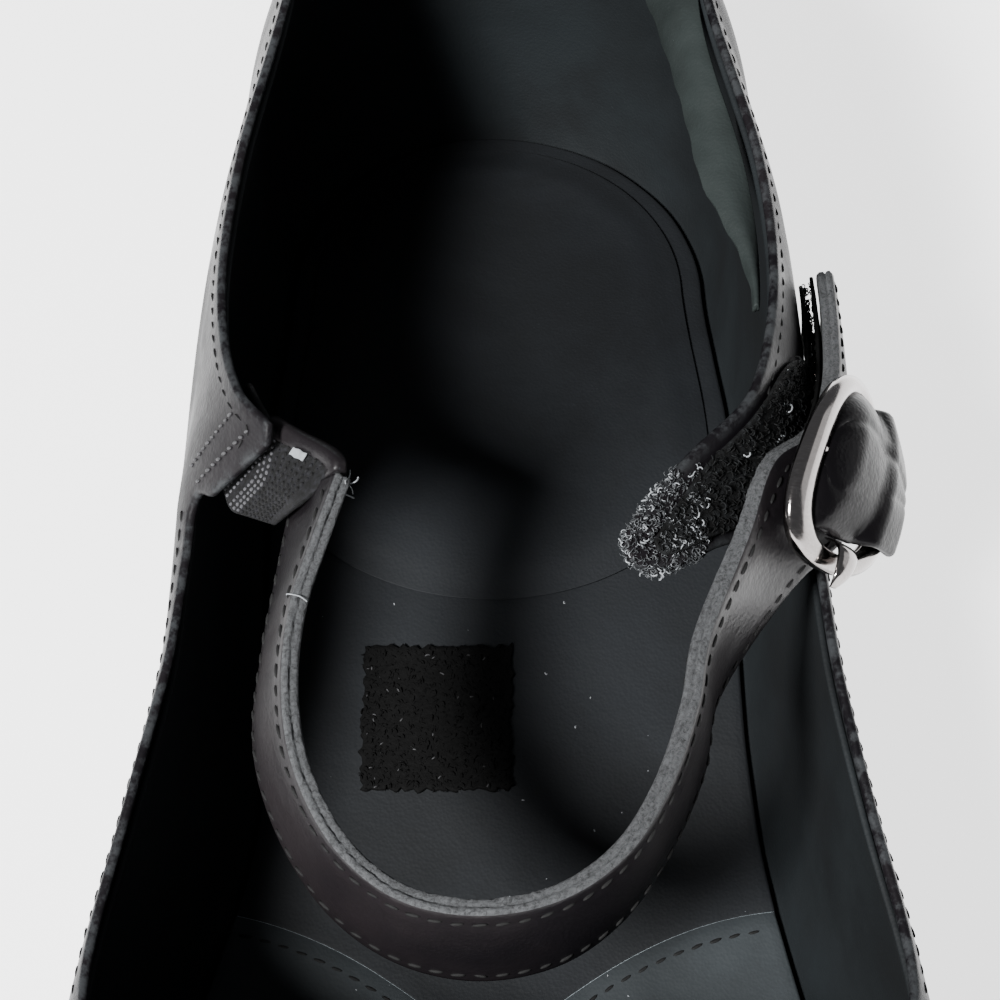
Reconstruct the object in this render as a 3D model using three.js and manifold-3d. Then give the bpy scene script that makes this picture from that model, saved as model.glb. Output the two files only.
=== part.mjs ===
// A left mary jane shoe: hollow upper with two ears, elastic gore, instep strap with a hook-and-loop
// fastening, an oval buckle, insole and socks, thin outsole and low stacked heel.
// Millimetres, +Z up. The toe points to -Y, the outer side with the buckle is +X.
// The origin is on the ground under the middle of the shoe.
import * as THREE from "three";
import { mergeVertices } from "three/addons/utils/BufferGeometryUtils.js";
import Module from "manifold-3d";

const wasm = await Module();
wasm.setup();

// Driving sizes
const LENGTH = 250; // heel back to toe tip
const BALL_WIDTH = 92; // widest place of the upper
const INSTEP_HEIGHT = 80; // last's ridge above the outsole behind the strap
const HEEL_HEIGHT = 18; // outsole's seat above the ground
const TOE_SPRING = 9; // outsole's toe above the ground
const WALL = 2; // upper leather with its lining
const GAP = 0.3; // between pieces that touch
const OUTSOLE_THICKNESS = 4.2;
const OUTSOLE_EDGE = 0.6; // how far the outsole stands out under the upper
const TOP_PIECE_THICKNESS = 5;
const HEEL_TAPER = 2.2; // how far the heel block narrows towards the ground
const INSOLE_THICKNESS = 2.2;
const SOCK_THICKNESS = 1.2;
const HEEL_PAD_THICKNESS = 0.8;
const STRAP_WIDTH = 13.5;
const STRAP_THICKNESS = 2.2;
const GORE_THICKNESS = 1.2;
const TAPE_THICKNESS = 0.8; // each half of the hook-and-loop fastening
const BUCKLE_LENGTH = 30;
const BUCKLE_BAR = 2.9; // width of the frame's rim
const BUCKLE_THICKNESS = 2.2;
const PRONG_WIDTH = 2.6;
const COVER_RISE = 3.4; // of the leather loop over the buckle's middle bar
const PATCH_SIDE = 18; // square hook patch on the sock

// Places along the shoe, from the heel's back, as shares of the length
const HEEL_CENTRE = 0.14; // centre of the heel's curve
const TOE_CENTRE = 0.74; // centre of the toe's curve
const HEEL_BREAST = 0.235;

// The last in sections, seen from above. at: share of the length; the other columns are shares of the ball
// width. outer, inner: half-widths at the bulge. tuckOuter, tuckInner: how far the edge at the sole lies
// inside them. axis: where the middle line lies, negative towards the big toe. lean: how far the upper
// edge bends in over the instep.
const PLAN = [
  { at: 0, outer: 0.37, inner: 0.348, tuckOuter: 0.05, tuckInner: 0.046, axis: 0, lean: 0 },
  { at: 0.14, outer: 0.37, inner: 0.348, tuckOuter: 0.05, tuckInner: 0.046, axis: 0, lean: 0 },
  { at: 0.24, outer: 0.4, inner: 0.372, tuckOuter: 0.058, tuckInner: 0.056, axis: 0, lean: 0.004 },
  { at: 0.32, outer: 0.406, inner: 0.384, tuckOuter: 0.064, tuckInner: 0.076, axis: 0, lean: 0.012 },
  { at: 0.38, outer: 0.406, inner: 0.388, tuckOuter: 0.062, tuckInner: 0.09, axis: 0, lean: 0.035 },
  { at: 0.42, outer: 0.41, inner: 0.386, tuckOuter: 0.06, tuckInner: 0.088, axis: 0, lean: 0.065 },
  { at: 0.47, outer: 0.42, inner: 0.392, tuckOuter: 0.052, tuckInner: 0.076, axis: 0, lean: 0.07 },
  { at: 0.53, outer: 0.448, inner: 0.424, tuckOuter: 0.042, tuckInner: 0.056, axis: 0, lean: 0.03 },
  { at: 0.6, outer: 0.49, inner: 0.466, tuckOuter: 0.036, tuckInner: 0.036, axis: 0, lean: 0 },
  { at: 0.66, outer: 0.514, inner: 0.49, tuckOuter: 0.036, tuckInner: 0.032, axis: -0.002, lean: 0 },
  { at: 0.73, outer: 0.512, inner: 0.502, tuckOuter: 0.036, tuckInner: 0.032, axis: -0.008, lean: 0 },
  { at: 0.82, outer: 0.465, inner: 0.47, tuckOuter: 0.036, tuckInner: 0.034, axis: -0.022, lean: 0 },
  { at: 0.91, outer: 0.4, inner: 0.4, tuckOuter: 0.036, tuckInner: 0.036, axis: -0.044, lean: 0 },
  { at: 1, outer: 0.3, inner: 0.3, tuckOuter: 0.036, tuckInner: 0.036, axis: -0.07, lean: 0 },
];

// The same sections seen from the side. bulge, ridge: heights of the widest place and of the top line
// above the outsole, as shares of the instep height. box: squareness of the section.
const PROFILE = [
  { at: 0, bulge: 0.27, ridge: 0.94, box: 2 },
  { at: 0.14, bulge: 0.27, ridge: 0.95, box: 2 },
  { at: 0.24, bulge: 0.32, ridge: 0.98, box: 2 },
  { at: 0.32, bulge: 0.38, ridge: 1, box: 2 },
  { at: 0.38, bulge: 0.43, ridge: 0.98, box: 2 },
  { at: 0.42, bulge: 0.46, ridge: 0.87, box: 2 },
  { at: 0.47, bulge: 0.47, ridge: 0.83, box: 2 },
  { at: 0.53, bulge: 0.46, ridge: 0.76, box: 2.2 },
  { at: 0.6, bulge: 0.42, ridge: 0.69, box: 2.5 },
  { at: 0.66, bulge: 0.37, ridge: 0.63, box: 2.6 },
  { at: 0.73, bulge: 0.3, ridge: 0.55, box: 2.5 },
  { at: 0.82, bulge: 0.22, ridge: 0.465, box: 2.4 },
  { at: 0.91, bulge: 0.16, ridge: 0.37, box: 2.3 },
  { at: 1, bulge: 0.12, ridge: 0.27, box: 2.3 },
];

// Underside of the outsole between the seat and the ground, as shares of the heel height, then of the toe spring.
const SOLE_LINE = [
  { at: 0.0, heel: 1, toe: 0 },
  { at: 0.22, heel: 1, toe: 0 },
  { at: 0.26, heel: 0.965, toe: 0 },
  { at: 0.32, heel: 0.83, toe: 0 },
  { at: 0.4, heel: 0.575, toe: 0 },
  { at: 0.48, heel: 0.3, toe: 0 },
  { at: 0.56, heel: 0.085, toe: 0 },
  { at: 0.63, heel: 0, toe: 0 },
  { at: 0.77, heel: 0, toe: 0 },
  { at: 0.83, heel: 0, toe: 0.13 },
  { at: 0.91, heel: 0, toe: 0.5 },
  { at: 1.0, heel: 0, toe: 1 },
];

// A smooth value of one column of a table, by cubic pieces between its rows.
function column(rows, key, at) {
  const last = rows.length - 1;
  if (at <= rows[0].at) return rows[0][key];
  if (at >= rows[last].at) return rows[last][key];
  const i = rows.findIndex((row, k) => k < last && at <= rows[k + 1].at);
  const slope = (k) =>
    k <= 0 || k >= last ? 0 : (rows[k + 1][key] - rows[k - 1][key]) / (rows[k + 1].at - rows[k - 1].at);
  const span = rows[i + 1].at - rows[i].at;
  const t = (at - rows[i].at) / span;
  const a = rows[i][key];
  const b = rows[i + 1][key];
  const flat = a === b;
  const m0 = flat ? 0 : slope(i) * span;
  const m1 = flat ? 0 : slope(i + 1) * span;
  return (
    a * (2 * t ** 3 - 3 * t ** 2 + 1) + m0 * (t ** 3 - 2 * t ** 2 + t) +
    b * (3 * t ** 2 - 2 * t ** 3) + m1 * (t ** 3 - t ** 2)
  );
}

const smooth = (low, high, value) => {
  const t = Math.min(1, Math.max(0, (value - low) / (high - low)));
  return t * t * (3 - 2 * t);
};

// Heights along the shoe; s is the distance from the heel's back.
const soleUnder = (s) =>
  HEEL_HEIGHT * column(SOLE_LINE, "heel", s / LENGTH) + TOE_SPRING * column(SOLE_LINE, "toe", s / LENGTH);
const soleTop = (s) => soleUnder(s) + OUTSOLE_THICKNESS;
const feather = (s) => soleTop(s) + GAP;
const insoleTop = (s) => feather(s) + INSOLE_THICKNESS;
const sockTop = (s) => insoleTop(s) + GAP + SOCK_THICKNESS;
const across = (key, s) => BALL_WIDTH * column(PLAN, key, s / LENGTH);
const upwards = (key, s) => INSTEP_HEIGHT * column(PROFILE, key, s / LENGTH);

// The bend of the ears over the instep starts at this height above the outsole's seat.
const LEAN_FROM = 0.36 * INSTEP_HEIGHT;
const LEAN_FULL = 0.62 * INSTEP_HEIGHT;

const BULGE_AT = 0.34; // share of a column of the last below its widest place
const HEEL_UPRIGHT = 0.45; // how much less the heel's back leans in than its sides

// A column of the last stands over one place of the outline. side is 1 outer, -1 inner. turn is the angle
// round the heel's or toe's centre, 0 for a column on the straight side.
function lastPoint(col, t) {
  const { side, s: centreS, turn, end } = col;
  const reachX = across(side > 0 ? "outer" : "inner", centreS);
  const reachS = end === "heel" ? centreS : LENGTH - centreS;
  const edgeS = end === "heel" ? centreS - reachS * Math.sin(turn) : centreS + reachS * Math.sin(turn);
  const tuck = across(side > 0 ? "tuckOuter" : "tuckInner", centreS);
  const bulge = upwards("bulge", edgeS);
  const box = 2 / column(PROFILE, "box", edgeS / LENGTH);
  let share;
  let rise;
  if (t <= BULGE_AT) {
    const phi = ((t / BULGE_AT) * Math.PI) / 2;
    share = 1 - (tuck / reachX) * (1 - Math.sin(phi));
    rise = 1 - Math.cos(phi);
  } else {
    const phi = (((t - BULGE_AT) / (1 - BULGE_AT)) * Math.PI) / 2;
    share = Math.max(0, Math.cos(phi)) ** box;
    rise = Math.sin(phi) ** box;
  }
  const lengthwise = end === "heel" ? 1 - (1 - share) * HEEL_UPRIGHT : share;
  const s = centreS + (end === "heel" ? -1 : 1) * reachS * lengthwise * Math.sin(turn);
  const height = t <= BULGE_AT ? bulge * rise : bulge + (upwards("ridge", s) - bulge) * rise;
  const z = feather(s) + height;
  const lean = across("lean", s) * smooth(soleTop(0) + LEAN_FROM, soleTop(0) + LEAN_FULL, z);
  const half = Math.max(0, reachX * share * Math.cos(turn) - lean);
  return new THREE.Vector3(across("axis", s) + side * half, LENGTH / 2 - s, z);
}

// Columns round the last, from the heel's back along the outer side, round the toe and back.
const HEEL_TURNS = 7;
const TOE_TURNS = 12;
const STRAP_ZONE = [0.31, 0.49]; // closer columns at the ears
const FINE_STEP = 0.0105;
const COARSE_STEP = 0.0215;
const COLUMNS = [];
{
  const stations = [];
  const run = (from, to, step) => {
    const count = Math.round((to - from) / step);
    for (let i = 0; i < count; i++) stations.push(from + ((to - from) * i) / count);
  };
  run(HEEL_CENTRE, STRAP_ZONE[0], COARSE_STEP);
  run(STRAP_ZONE[0], STRAP_ZONE[1], FINE_STEP);
  run(STRAP_ZONE[1], TOE_CENTRE, COARSE_STEP);
  for (const side of [1, -1]) {
    const half = [];
    for (let i = 0; i < HEEL_TURNS; i++)
      half.push({ side, s: HEEL_CENTRE * LENGTH, turn: (Math.PI / 2) * (1 - i / HEEL_TURNS), end: "heel" });
    for (const at of stations) half.push({ side, s: at * LENGTH, turn: 0, end: "none" });
    for (let i = 0; i <= TOE_TURNS; i++)
      half.push({ side, s: TOE_CENTRE * LENGTH, turn: ((Math.PI / 2) * i) / TOE_TURNS, end: "toe" });
    // The two halves share the column at the toe's tip and the one at the heel's back.
    COLUMNS.push(...(side > 0 ? half : half.reverse().slice(1, -1)));
  }
}

const ROWS = [0, 0.1, 0.22, 0.34, 0.4, 0.435, 0.47, 0.505, 0.54, 0.575, 0.61, 0.65, 0.7, 0.76, 0.84, 0.92, 1];

// One closed geometry from points and triangles, its doubled points merged and its empty triangles dropped.
function closed(points, triangles) {
  const flat = new THREE.BufferGeometry();
  flat.setAttribute("position", new THREE.Float32BufferAttribute(points.flatMap((p) => [p.x, p.y, p.z]), 3));
  flat.setIndex(triangles.flat());
  const merged = mergeVertices(flat, 2e-3);
  const index = [];
  for (let i = 0; i < merged.index.count; i += 3) {
    const [a, b, c] = [0, 1, 2].map((k) => merged.index.getX(i + k));
    if (a !== b && b !== c && c !== a) index.push(a, b, c);
  }
  merged.setIndex(index);
  return merged;
}

// The last's whole outer skin as merged points with normals, and triangles.
const SKIN = (() => {
  const points = [];
  const triangles = [];
  COLUMNS.forEach((col) => ROWS.forEach((t) => points.push(lastPoint(col, t))));
  const sides = COLUMNS.flatMap((col) => ROWS.map(() => col.side));
  const n = ROWS.length;
  COLUMNS.forEach((_, i) => {
    const next = ((i + 1) % COLUMNS.length) * n;
    for (let j = 0; j + 1 < n; j++) {
      const [a, b, c, d] = [i * n + j, next + j, next + j + 1, i * n + j + 1];
      triangles.push([a, c, b], [a, d, c]);
    }
  });
  // Points on the ridge are doubled, so each takes the number of the first at its place.
  const seen = new Map();
  const same = points.map((p, k) => {
    const key = [p.x, p.y, p.z].map((v) => Math.round(v * 1e3)).join();
    if (!seen.has(key)) seen.set(key, k);
    return seen.get(key);
  });
  const kept = triangles
    .map((tri) => tri.map((k) => same[k]))
    .filter(([a, b, c]) => a !== b && b !== c && c !== a);
  const normals = points.map(() => new THREE.Vector3());
  for (const [a, b, c] of kept) {
    const face = points[b].clone().sub(points[a]).cross(points[c].clone().sub(points[a]));
    for (const k of [a, b, c]) normals[k].add(face);
  }
  normals.forEach((v) => v.normalize());
  return { points, normals, sides, triangles: kept };
})();

// Signed distance of a point of the side view to an outline, positive inside it.
function depthInside(outline, s, z) {
  let nearest = Infinity;
  let inside = false;
  for (let i = 0, j = outline.length - 1; i < outline.length; j = i++) {
    const a = outline[i];
    const b = outline[j];
    const ex = b.x - a.x;
    const ey = b.y - a.y;
    const k = Math.min(1, Math.max(0, ((s - a.x) * ex + (z - a.y) * ey) / (ex * ex + ey * ey || 1)));
    nearest = Math.min(nearest, Math.hypot(s - a.x - k * ex, z - a.y - k * ey));
    if (a.y > z !== b.y > z && s < ((b.x - a.x) * (z - a.y)) / (b.y - a.y) + a.x) inside = !inside;
  }
  return inside ? nearest : -nearest;
}

// A solid wall between two offsets of the skin, kept where the side view lies inside the outline of its side.
function wallFrom(outlines, low, high) {
  const depth = SKIN.points.map((p, k) => {
    const outline = outlines[SKIN.sides[k] > 0 ? "outer" : "inner"];
    const value = outline ? depthInside(outline, LENGTH / 2 - p.y, p.z) : -1;
    return Math.abs(value) < 1e-2 ? 1e-2 : value;
  });
  const points = [];
  const normals = [];
  const number = new Map();
  const give = (key, point, normal) => {
    if (!number.has(key)) {
      number.set(key, points.length);
      points.push(point);
      normals.push(normal);
    }
    return number.get(key);
  };
  const corner = (k) => give(`${k}`, SKIN.points[k], SKIN.normals[k]);
  const crossing = (a, b) => {
    const [i, j] = a < b ? [a, b] : [b, a];
    const t = Math.min(0.97, Math.max(0.03, depth[i] / (depth[i] - depth[j])));
    return give(
      `${i}/${j}`,
      SKIN.points[i].clone().lerp(SKIN.points[j], t),
      SKIN.normals[i].clone().lerp(SKIN.normals[j], t).normalize(),
    );
  };
  const faces = [];
  for (const tri of SKIN.triangles) {
    const ring = [];
    tri.forEach((a, k) => {
      const b = tri[(k + 1) % 3];
      if (depth[a] > 0) ring.push(corner(a));
      if (depth[a] > 0 !== depth[b] > 0) ring.push(crossing(a, b));
    });
    for (let k = 2; k < ring.length; k++) faces.push([ring[0], ring[k - 1], ring[k]]);
  }
  const shifted = (offset) =>
    points.map((p, k) => {
      const moved = p.clone().addScaledVector(normals[k], offset);
      const s = LENGTH / 2 - p.y;
      if (Math.abs(p.z - feather(s)) > 1e-3) return moved;
      // The edge on the sole stays flat: it moves level with the ground.
      const level = new THREE.Vector3(normals[k].x, normals[k].y, 0).normalize();
      return p.clone().addScaledVector(level, offset);
    });
  const count = points.length;
  const directed = new Set(faces.flatMap(([a, b, c]) => [`${a},${b}`, `${b},${c}`, `${c},${a}`]));
  const shell = [];
  for (const [a, b, c] of faces) {
    shell.push([a, b, c], [a + count, c + count, b + count]);
    for (const [p, q] of [[a, b], [b, c], [c, a]])
      if (!directed.has(`${q},${p}`)) shell.push([p, p + count, q + count], [p, q + count, q]);
  }
  return closed([...shifted(high), ...shifted(low)], shell);
}

// Side outlines of the upper. Places are shares of the length and of the instep height above the seat.
const seat = soleTop(0);
const place = (at, up) => new THREE.Vector2(at * LENGTH, seat + up * INSTEP_HEIGHT);
const BEYOND = 2; // share of a size that lies well outside the shoe

function topLine({ earBack, earTip, earFront, notch, vamp }) {
  const shape = new THREE.Shape();
  shape.moveTo(-LENGTH, -LENGTH);
  shape.lineTo(-LENGTH, place(0, 0.79).y);
  shape.lineTo(...place(0, 0.79).toArray());
  shape.splineThru([place(0.05, 0.775), place(0.15, 0.705), place(0.24, 0.655), ...earBack]);
  shape.lineTo(...earTip[0].toArray());
  shape.quadraticCurveTo(...earTip[1].toArray(), ...earTip[2].toArray());
  shape.lineTo(...earFront.toArray());
  shape.quadraticCurveTo(...notch[0].toArray(), ...notch[1].toArray());
  shape.splineThru(vamp);
  shape.lineTo(...place(0.745, BEYOND).toArray());
  shape.lineTo(BEYOND * LENGTH, place(0, BEYOND).y);
  shape.lineTo(BEYOND * LENGTH, -LENGTH);
  return shape.getPoints(10);
}

// The throat's round end over the toes, shared by both sides.
const THROAT = [
  place(0.57, 0.325),
  place(0.61, 0.312),
  place(0.64, 0.333),
  place(0.668, 0.36),
  place(0.69, 0.374),
  place(0.705, 0.45),
];

const UPPER_OUTLINES = {
  outer: topLine({
    earBack: [place(0.3, 0.635), place(0.37, 0.633), place(0.42, 0.638), place(0.455, 0.642)],
    earTip: [place(0.463, 0.64), place(0.475, 0.638), place(0.476, 0.6)],
    earFront: place(0.452, 0.565),
    notch: [place(0.43, 0.52), place(0.41, 0.42)],
    vamp: [place(0.43, 0.402), place(0.5, 0.372), ...THROAT],
  }),
  inner: topLine({
    earBack: [place(0.3, 0.635), place(0.35, 0.63), place(0.38, 0.633)],
    earTip: [place(0.402, 0.638), place(0.4095, 0.637), place(0.4095, 0.62)],
    earFront: place(0.4075, 0.498),
    notch: [place(0.394, 0.48), place(0.406, 0.452)],
    vamp: [place(0.44, 0.42), place(0.5, 0.378), ...THROAT],
  }),
};

// A point on the last's side at a distance from the heel's back and a height, moved outwards by an offset.
function sidePoint(side, s, z, out) {
  const at = (sx, t) => lastPoint({ side, s: sx, turn: 0, end: "none" }, t);
  const share = (sx) => {
    let low = 0;
    let high = 1;
    for (let i = 0; i < 40; i++) {
      const mid = (low + high) / 2;
      if (at(sx, mid).z < z) low = mid;
      else high = mid;
    }
    return low;
  };
  const t = share(s);
  const p = at(s, t);
  const up = at(s, Math.min(1, t + 0.01)).sub(at(s, t - 0.01));
  const along = at(s + 1, t).sub(at(s - 1, t));
  const normal = up.cross(along).multiplyScalar(side).normalize();
  return p.addScaledVector(normal, out);
}

// A closed solid from a grid of points: low and high are offsets along the grid's own normals.
function sheet(grid, low, high) {
  const rows = grid.length;
  const cols = grid[0].length;
  const normal = (i, j) => {
    const a = grid[Math.min(rows - 1, i + 1)][j].clone().sub(grid[Math.max(0, i - 1)][j]);
    const b = grid[i][Math.min(cols - 1, j + 1)].clone().sub(grid[i][Math.max(0, j - 1)]);
    return a.cross(b).normalize();
  };
  const points = [high, low].flatMap((offset) =>
    grid.flatMap((row, i) => row.map((p, j) => p.clone().addScaledVector(normal(i, j), offset))),
  );
  const count = rows * cols;
  const faces = [];
  const quad = (a, b, c, d) => faces.push([a, b, c], [a, c, d]);
  for (let i = 0; i + 1 < rows; i++)
    for (let j = 0; j + 1 < cols; j++) {
      const [a, b, c, d] = [i * cols + j, (i + 1) * cols + j, (i + 1) * cols + j + 1, i * cols + j + 1];
      quad(a, b, c, d);
      quad(a + count, d + count, c + count, b + count);
    }
  const edge = (p, q) => quad(p, p + count, q + count, q);
  for (let i = 0; i + 1 < rows; i++) {
    edge(i * cols, (i + 1) * cols);
    edge((i + 1) * cols + cols - 1, i * cols + cols - 1);
  }
  for (let j = 0; j + 1 < cols; j++) {
    edge(j + 1, j);
    edge((rows - 1) * cols + j, (rows - 1) * cols + j + 1);
  }
  return closed(points, faces);
}

// Places along the outline of the foot from the heel's back to a station, for one side.
const HEEL_FAN = 8;
const TOE_FAN = 12;
const SIDE_STEPS = 20;

function placesAlong(side, to = 1) {
  const places = [];
  for (let i = 0; i < HEEL_FAN; i++)
    places.push({ side, s: HEEL_CENTRE * LENGTH, turn: (Math.PI / 2) * (1 - i / HEEL_FAN), end: "heel" });
  const last = Math.min(to, TOE_CENTRE);
  const steps = Math.max(2, Math.round((SIDE_STEPS * (last - HEEL_CENTRE)) / (TOE_CENTRE - HEEL_CENTRE)));
  for (let i = 0; i <= steps; i++) {
    const at = HEEL_CENTRE + ((last - HEEL_CENTRE) * i) / steps;
    places.push({ side, s: at * LENGTH, turn: 0, end: "none" });
  }
  if (to > TOE_CENTRE)
    for (let i = 1; i <= TOE_FAN; i++)
      places.push({ side, s: TOE_CENTRE * LENGTH, turn: ((Math.PI / 2) * i) / TOE_FAN, end: "toe" });
  return places;
}

// The foot's outline at a height above the feather line, moved out level with the ground.
function outline(side, height, out, to) {
  const base = placesAlong(side, to).map((col) => {
    const bulge = upwards("bulge", col.s);
    const t = (BULGE_AT * Math.acos(1 - height / bulge)) / (Math.PI / 2);
    return lastPoint(col, t);
  });
  const closes = to === undefined;
  return base.map((p, i) => {
    const before = base[i - 1];
    const after = base[i + 1];
    const along = (after ?? p).clone().sub(before ?? p);
    if (!before) along.set(side, 0, 0);
    if (!after && closes) along.set(-side, 0, 0);
    const normal = new THREE.Vector3(-along.y * side, along.x * side, 0).normalize();
    return p.clone().addScaledVector(normal, out);
  });
}

// A slab across the foot. over and under give the outline's height, its offset and the face's own height.
function slab({ over, under, to }) {
  const rim = ({ height = 0, out, z }) => {
    const [outer, inner] = [1, -1].map((side) =>
      outline(side, height, out, to).map((p) => new THREE.Vector3(p.x, p.y, z(LENGTH / 2 - p.y))),
    );
    // Both sides share the point at the heel's back, and the one at the toe's tip.
    inner[0].copy(outer[0]);
    if (to === undefined) inner[inner.length - 1].copy(outer[outer.length - 1]);
    return [outer, inner];
  };
  const [topOuter, topInner] = rim(over);
  const [lowOuter, lowInner] = rim(under);
  const count = topOuter.length;
  const points = [...topOuter, ...topInner, ...lowOuter, ...lowInner];
  const faces = [];
  const quad = (a, b, c, d) => faces.push([a, b, c], [a, c, d]);
  for (let i = 0; i + 1 < count; i++) {
    const [outerTop, innerTop, outerLow, innerLow] = [0, 1, 2, 3].map((k) => k * count + i);
    quad(outerTop, innerTop, innerTop + 1, outerTop + 1);
    quad(outerLow, outerLow + 1, innerLow + 1, innerLow);
    quad(outerTop, outerTop + 1, outerLow + 1, outerLow);
    quad(innerTop, innerLow, innerLow + 1, innerTop + 1);
  }
  if (to !== undefined) {
    const end = count - 1;
    quad(end, count + end, 3 * count + end, 2 * count + end);
  }
  return closed(points, faces);
}

// Solids for cutting and joining.
function solid(geometry) {
  const merged = mergeVertices(new THREE.BufferGeometry()
    .setIndex(geometry.index)
    .setAttribute("position", geometry.getAttribute("position").clone()), 1e-3);
  return new wasm.Manifold(new wasm.Mesh({
    numProp: 3,
    vertProperties: new Float32Array(merged.attributes.position.array),
    triVerts: new Uint32Array(merged.index.array),
  }));
}

function geometryOf(made) {
  const mesh = made.getMesh();
  const flat = new THREE.BufferGeometry();
  flat.setAttribute("position", new THREE.BufferAttribute(new Float32Array(mesh.vertProperties), 3));
  flat.setIndex(new THREE.BufferAttribute(new Uint32Array(mesh.triVerts), 1));
  return flat;
}

// A plan outline in x and s, drawn up through the whole shoe.
function column3d(points) {
  const shape = new THREE.Shape(points.map(([x, s]) => new THREE.Vector2(x, LENGTH / 2 - s)));
  const made = new THREE.ExtrudeGeometry(shape, { depth: INSTEP_HEIGHT * BEYOND, bevelEnabled: false });
  return solid(made.translate(0, 0, -INSTEP_HEIGHT));
}

// Sole and heel
function outsole() {
  return slab({
    over: { out: OUTSOLE_EDGE, z: soleTop },
    under: { out: OUTSOLE_EDGE, z: soleUnder },
  });
}

function heelBlock() {
  const narrow = HEEL_TAPER * (1 - TOP_PIECE_THICKNESS / HEEL_HEIGHT);
  return slab({
    over: { out: OUTSOLE_EDGE, z: (s) => soleUnder(s) - GAP },
    under: { out: OUTSOLE_EDGE - narrow, z: () => TOP_PIECE_THICKNESS + GAP },
    to: HEEL_BREAST,
  });
}

function topPiece() {
  return slab({
    over: { out: OUTSOLE_EDGE - HEEL_TAPER * (1 - TOP_PIECE_THICKNESS / HEEL_HEIGHT), z: () => TOP_PIECE_THICKNESS },
    under: { out: OUTSOLE_EDGE - HEEL_TAPER, z: () => 0 },
    to: HEEL_BREAST,
  });
}

// Insole, socks and the pad under the heel
const INSIDE = -(WALL + 1.5 * GAP);
const SOCK_INSIDE = INSIDE - 0.5 * WALL; // the wall slopes there, so it reaches further in
const SOCK_HEIGHT = INSOLE_THICKNESS + GAP;

function insoleBoard() {
  return slab({ over: { out: INSIDE, z: insoleTop }, under: { out: INSIDE, z: feather } });
}

function sockLayer() {
  return solid(slab({
    over: { height: SOCK_HEIGHT, out: SOCK_INSIDE, z: sockTop },
    under: { height: SOCK_HEIGHT, out: SOCK_INSIDE, z: (s) => insoleTop(s) + GAP },
  }));
}

// The rear sock ends in a rounded point over the ball of the foot, and the forepart sock starts there.
// middle, sides: shares of the length. half, round: half the point's width and its rounding, as shares of
// the ball width.
const SOCK_EDGE = { middle: 0.574, sides: 0.496, half: 0.4, round: 0.045, steps: 18 };
function sockArc(back) {
  const half = BALL_WIDTH * SOCK_EDGE.half;
  const reach = LENGTH * (SOCK_EDGE.middle - SOCK_EDGE.sides);
  const shape = [];
  for (let i = 0; i <= SOCK_EDGE.steps; i++) {
    const x = half * (1 - (2 * i) / SOCK_EDGE.steps);
    const away = Math.min(1, Math.hypot(x, BALL_WIDTH * SOCK_EDGE.round) / half);
    shape.push([x, LENGTH * SOCK_EDGE.sides + reach * (1 - away) ** 2 + back]);
  }
  const end = shape[0][1];
  return [[LENGTH, end], ...shape, [-LENGTH, end]];
}

function rearSock() {
  const arc = sockArc(-GAP);
  return geometryOf(sockLayer().intersect(column3d([...arc, [-LENGTH, -LENGTH], [LENGTH, -LENGTH]])));
}

function forepartSock() {
  const arc = sockArc(0);
  return geometryOf(sockLayer().intersect(column3d([...arc, [-LENGTH, 2 * LENGTH], [LENGTH, 2 * LENGTH]])));
}

const PAD_INSET = 3;
// The heel pad's round front. reach: share of the length where it ends. half, depth: shares of the ball width.
const PAD_FRONT = { reach: 0.34, half: 0.294, depth: 0.21, steps: 14 };

function heelPad() {
  const lift = SOCK_HEIGHT + SOCK_THICKNESS + GAP;
  const under = (s) => sockTop(s) + GAP;
  const layer = solid(slab({
    over: { height: lift, out: SOCK_INSIDE - PAD_INSET, z: (s) => under(s) + HEEL_PAD_THICKNESS },
    under: { height: lift, out: SOCK_INSIDE - PAD_INSET, z: under },
    to: PAD_FRONT.reach + 0.04,
  }));
  const front = [];
  for (let i = 0; i <= PAD_FRONT.steps; i++) {
    const turn = (Math.PI * i) / PAD_FRONT.steps;
    const s = LENGTH * PAD_FRONT.reach - BALL_WIDTH * PAD_FRONT.depth * (1 - Math.sin(turn));
    front.push([BALL_WIDTH * PAD_FRONT.half * Math.cos(turn), s]);
  }
  const end = front[0][1];
  const back = [[-LENGTH, end], [-LENGTH, -LENGTH], [LENGTH, -LENGTH], [LENGTH, end]];
  return geometryOf(layer.intersect(column3d([...front, ...back])));
}

const PATCH_PLACE = { across: -0.07, at: 0.402 }; // the patch's middle
const PATCH_STEPS = 6;
function sockPatch() {
  const grid = [];
  for (let i = 0; i <= PATCH_STEPS; i++) {
    const s = PATCH_PLACE.at * LENGTH + PATCH_SIDE * (i / PATCH_STEPS - 0.5);
    const middle = new THREE.Vector3(PATCH_PLACE.across * BALL_WIDTH, LENGTH / 2 - s, sockTop(s));
    grid.push([-0.5, 0.5].map((k) => middle.clone().setX(middle.x + PATCH_SIDE * k)));
  }
  return sheet(grid, GAP, GAP + TAPE_THICKNESS);
}

// The strap's upper edge from its free end over the outer ear and round in front of the instep to the gore.
// On the ear it lies on the fastening tapes; in the open each row gives the edge and how far it tilts.
const ON_EAR = GAP + TAPE_THICKNESS + GAP + TAPE_THICKNESS + GAP + STRAP_THICKNESS / 2;
const EAR_DROP = 0.97; // share of the strap's width that its lower edge drops there, as it leans
const EAR_ROWS = [
  { at: 0.272, up: 0.51 },
  { at: 0.31, up: 0.51 },
  { at: 0.35, up: 0.522 },
  { at: 0.385, up: 0.555 },
  { at: 0.41, up: 0.585 },
];
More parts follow.
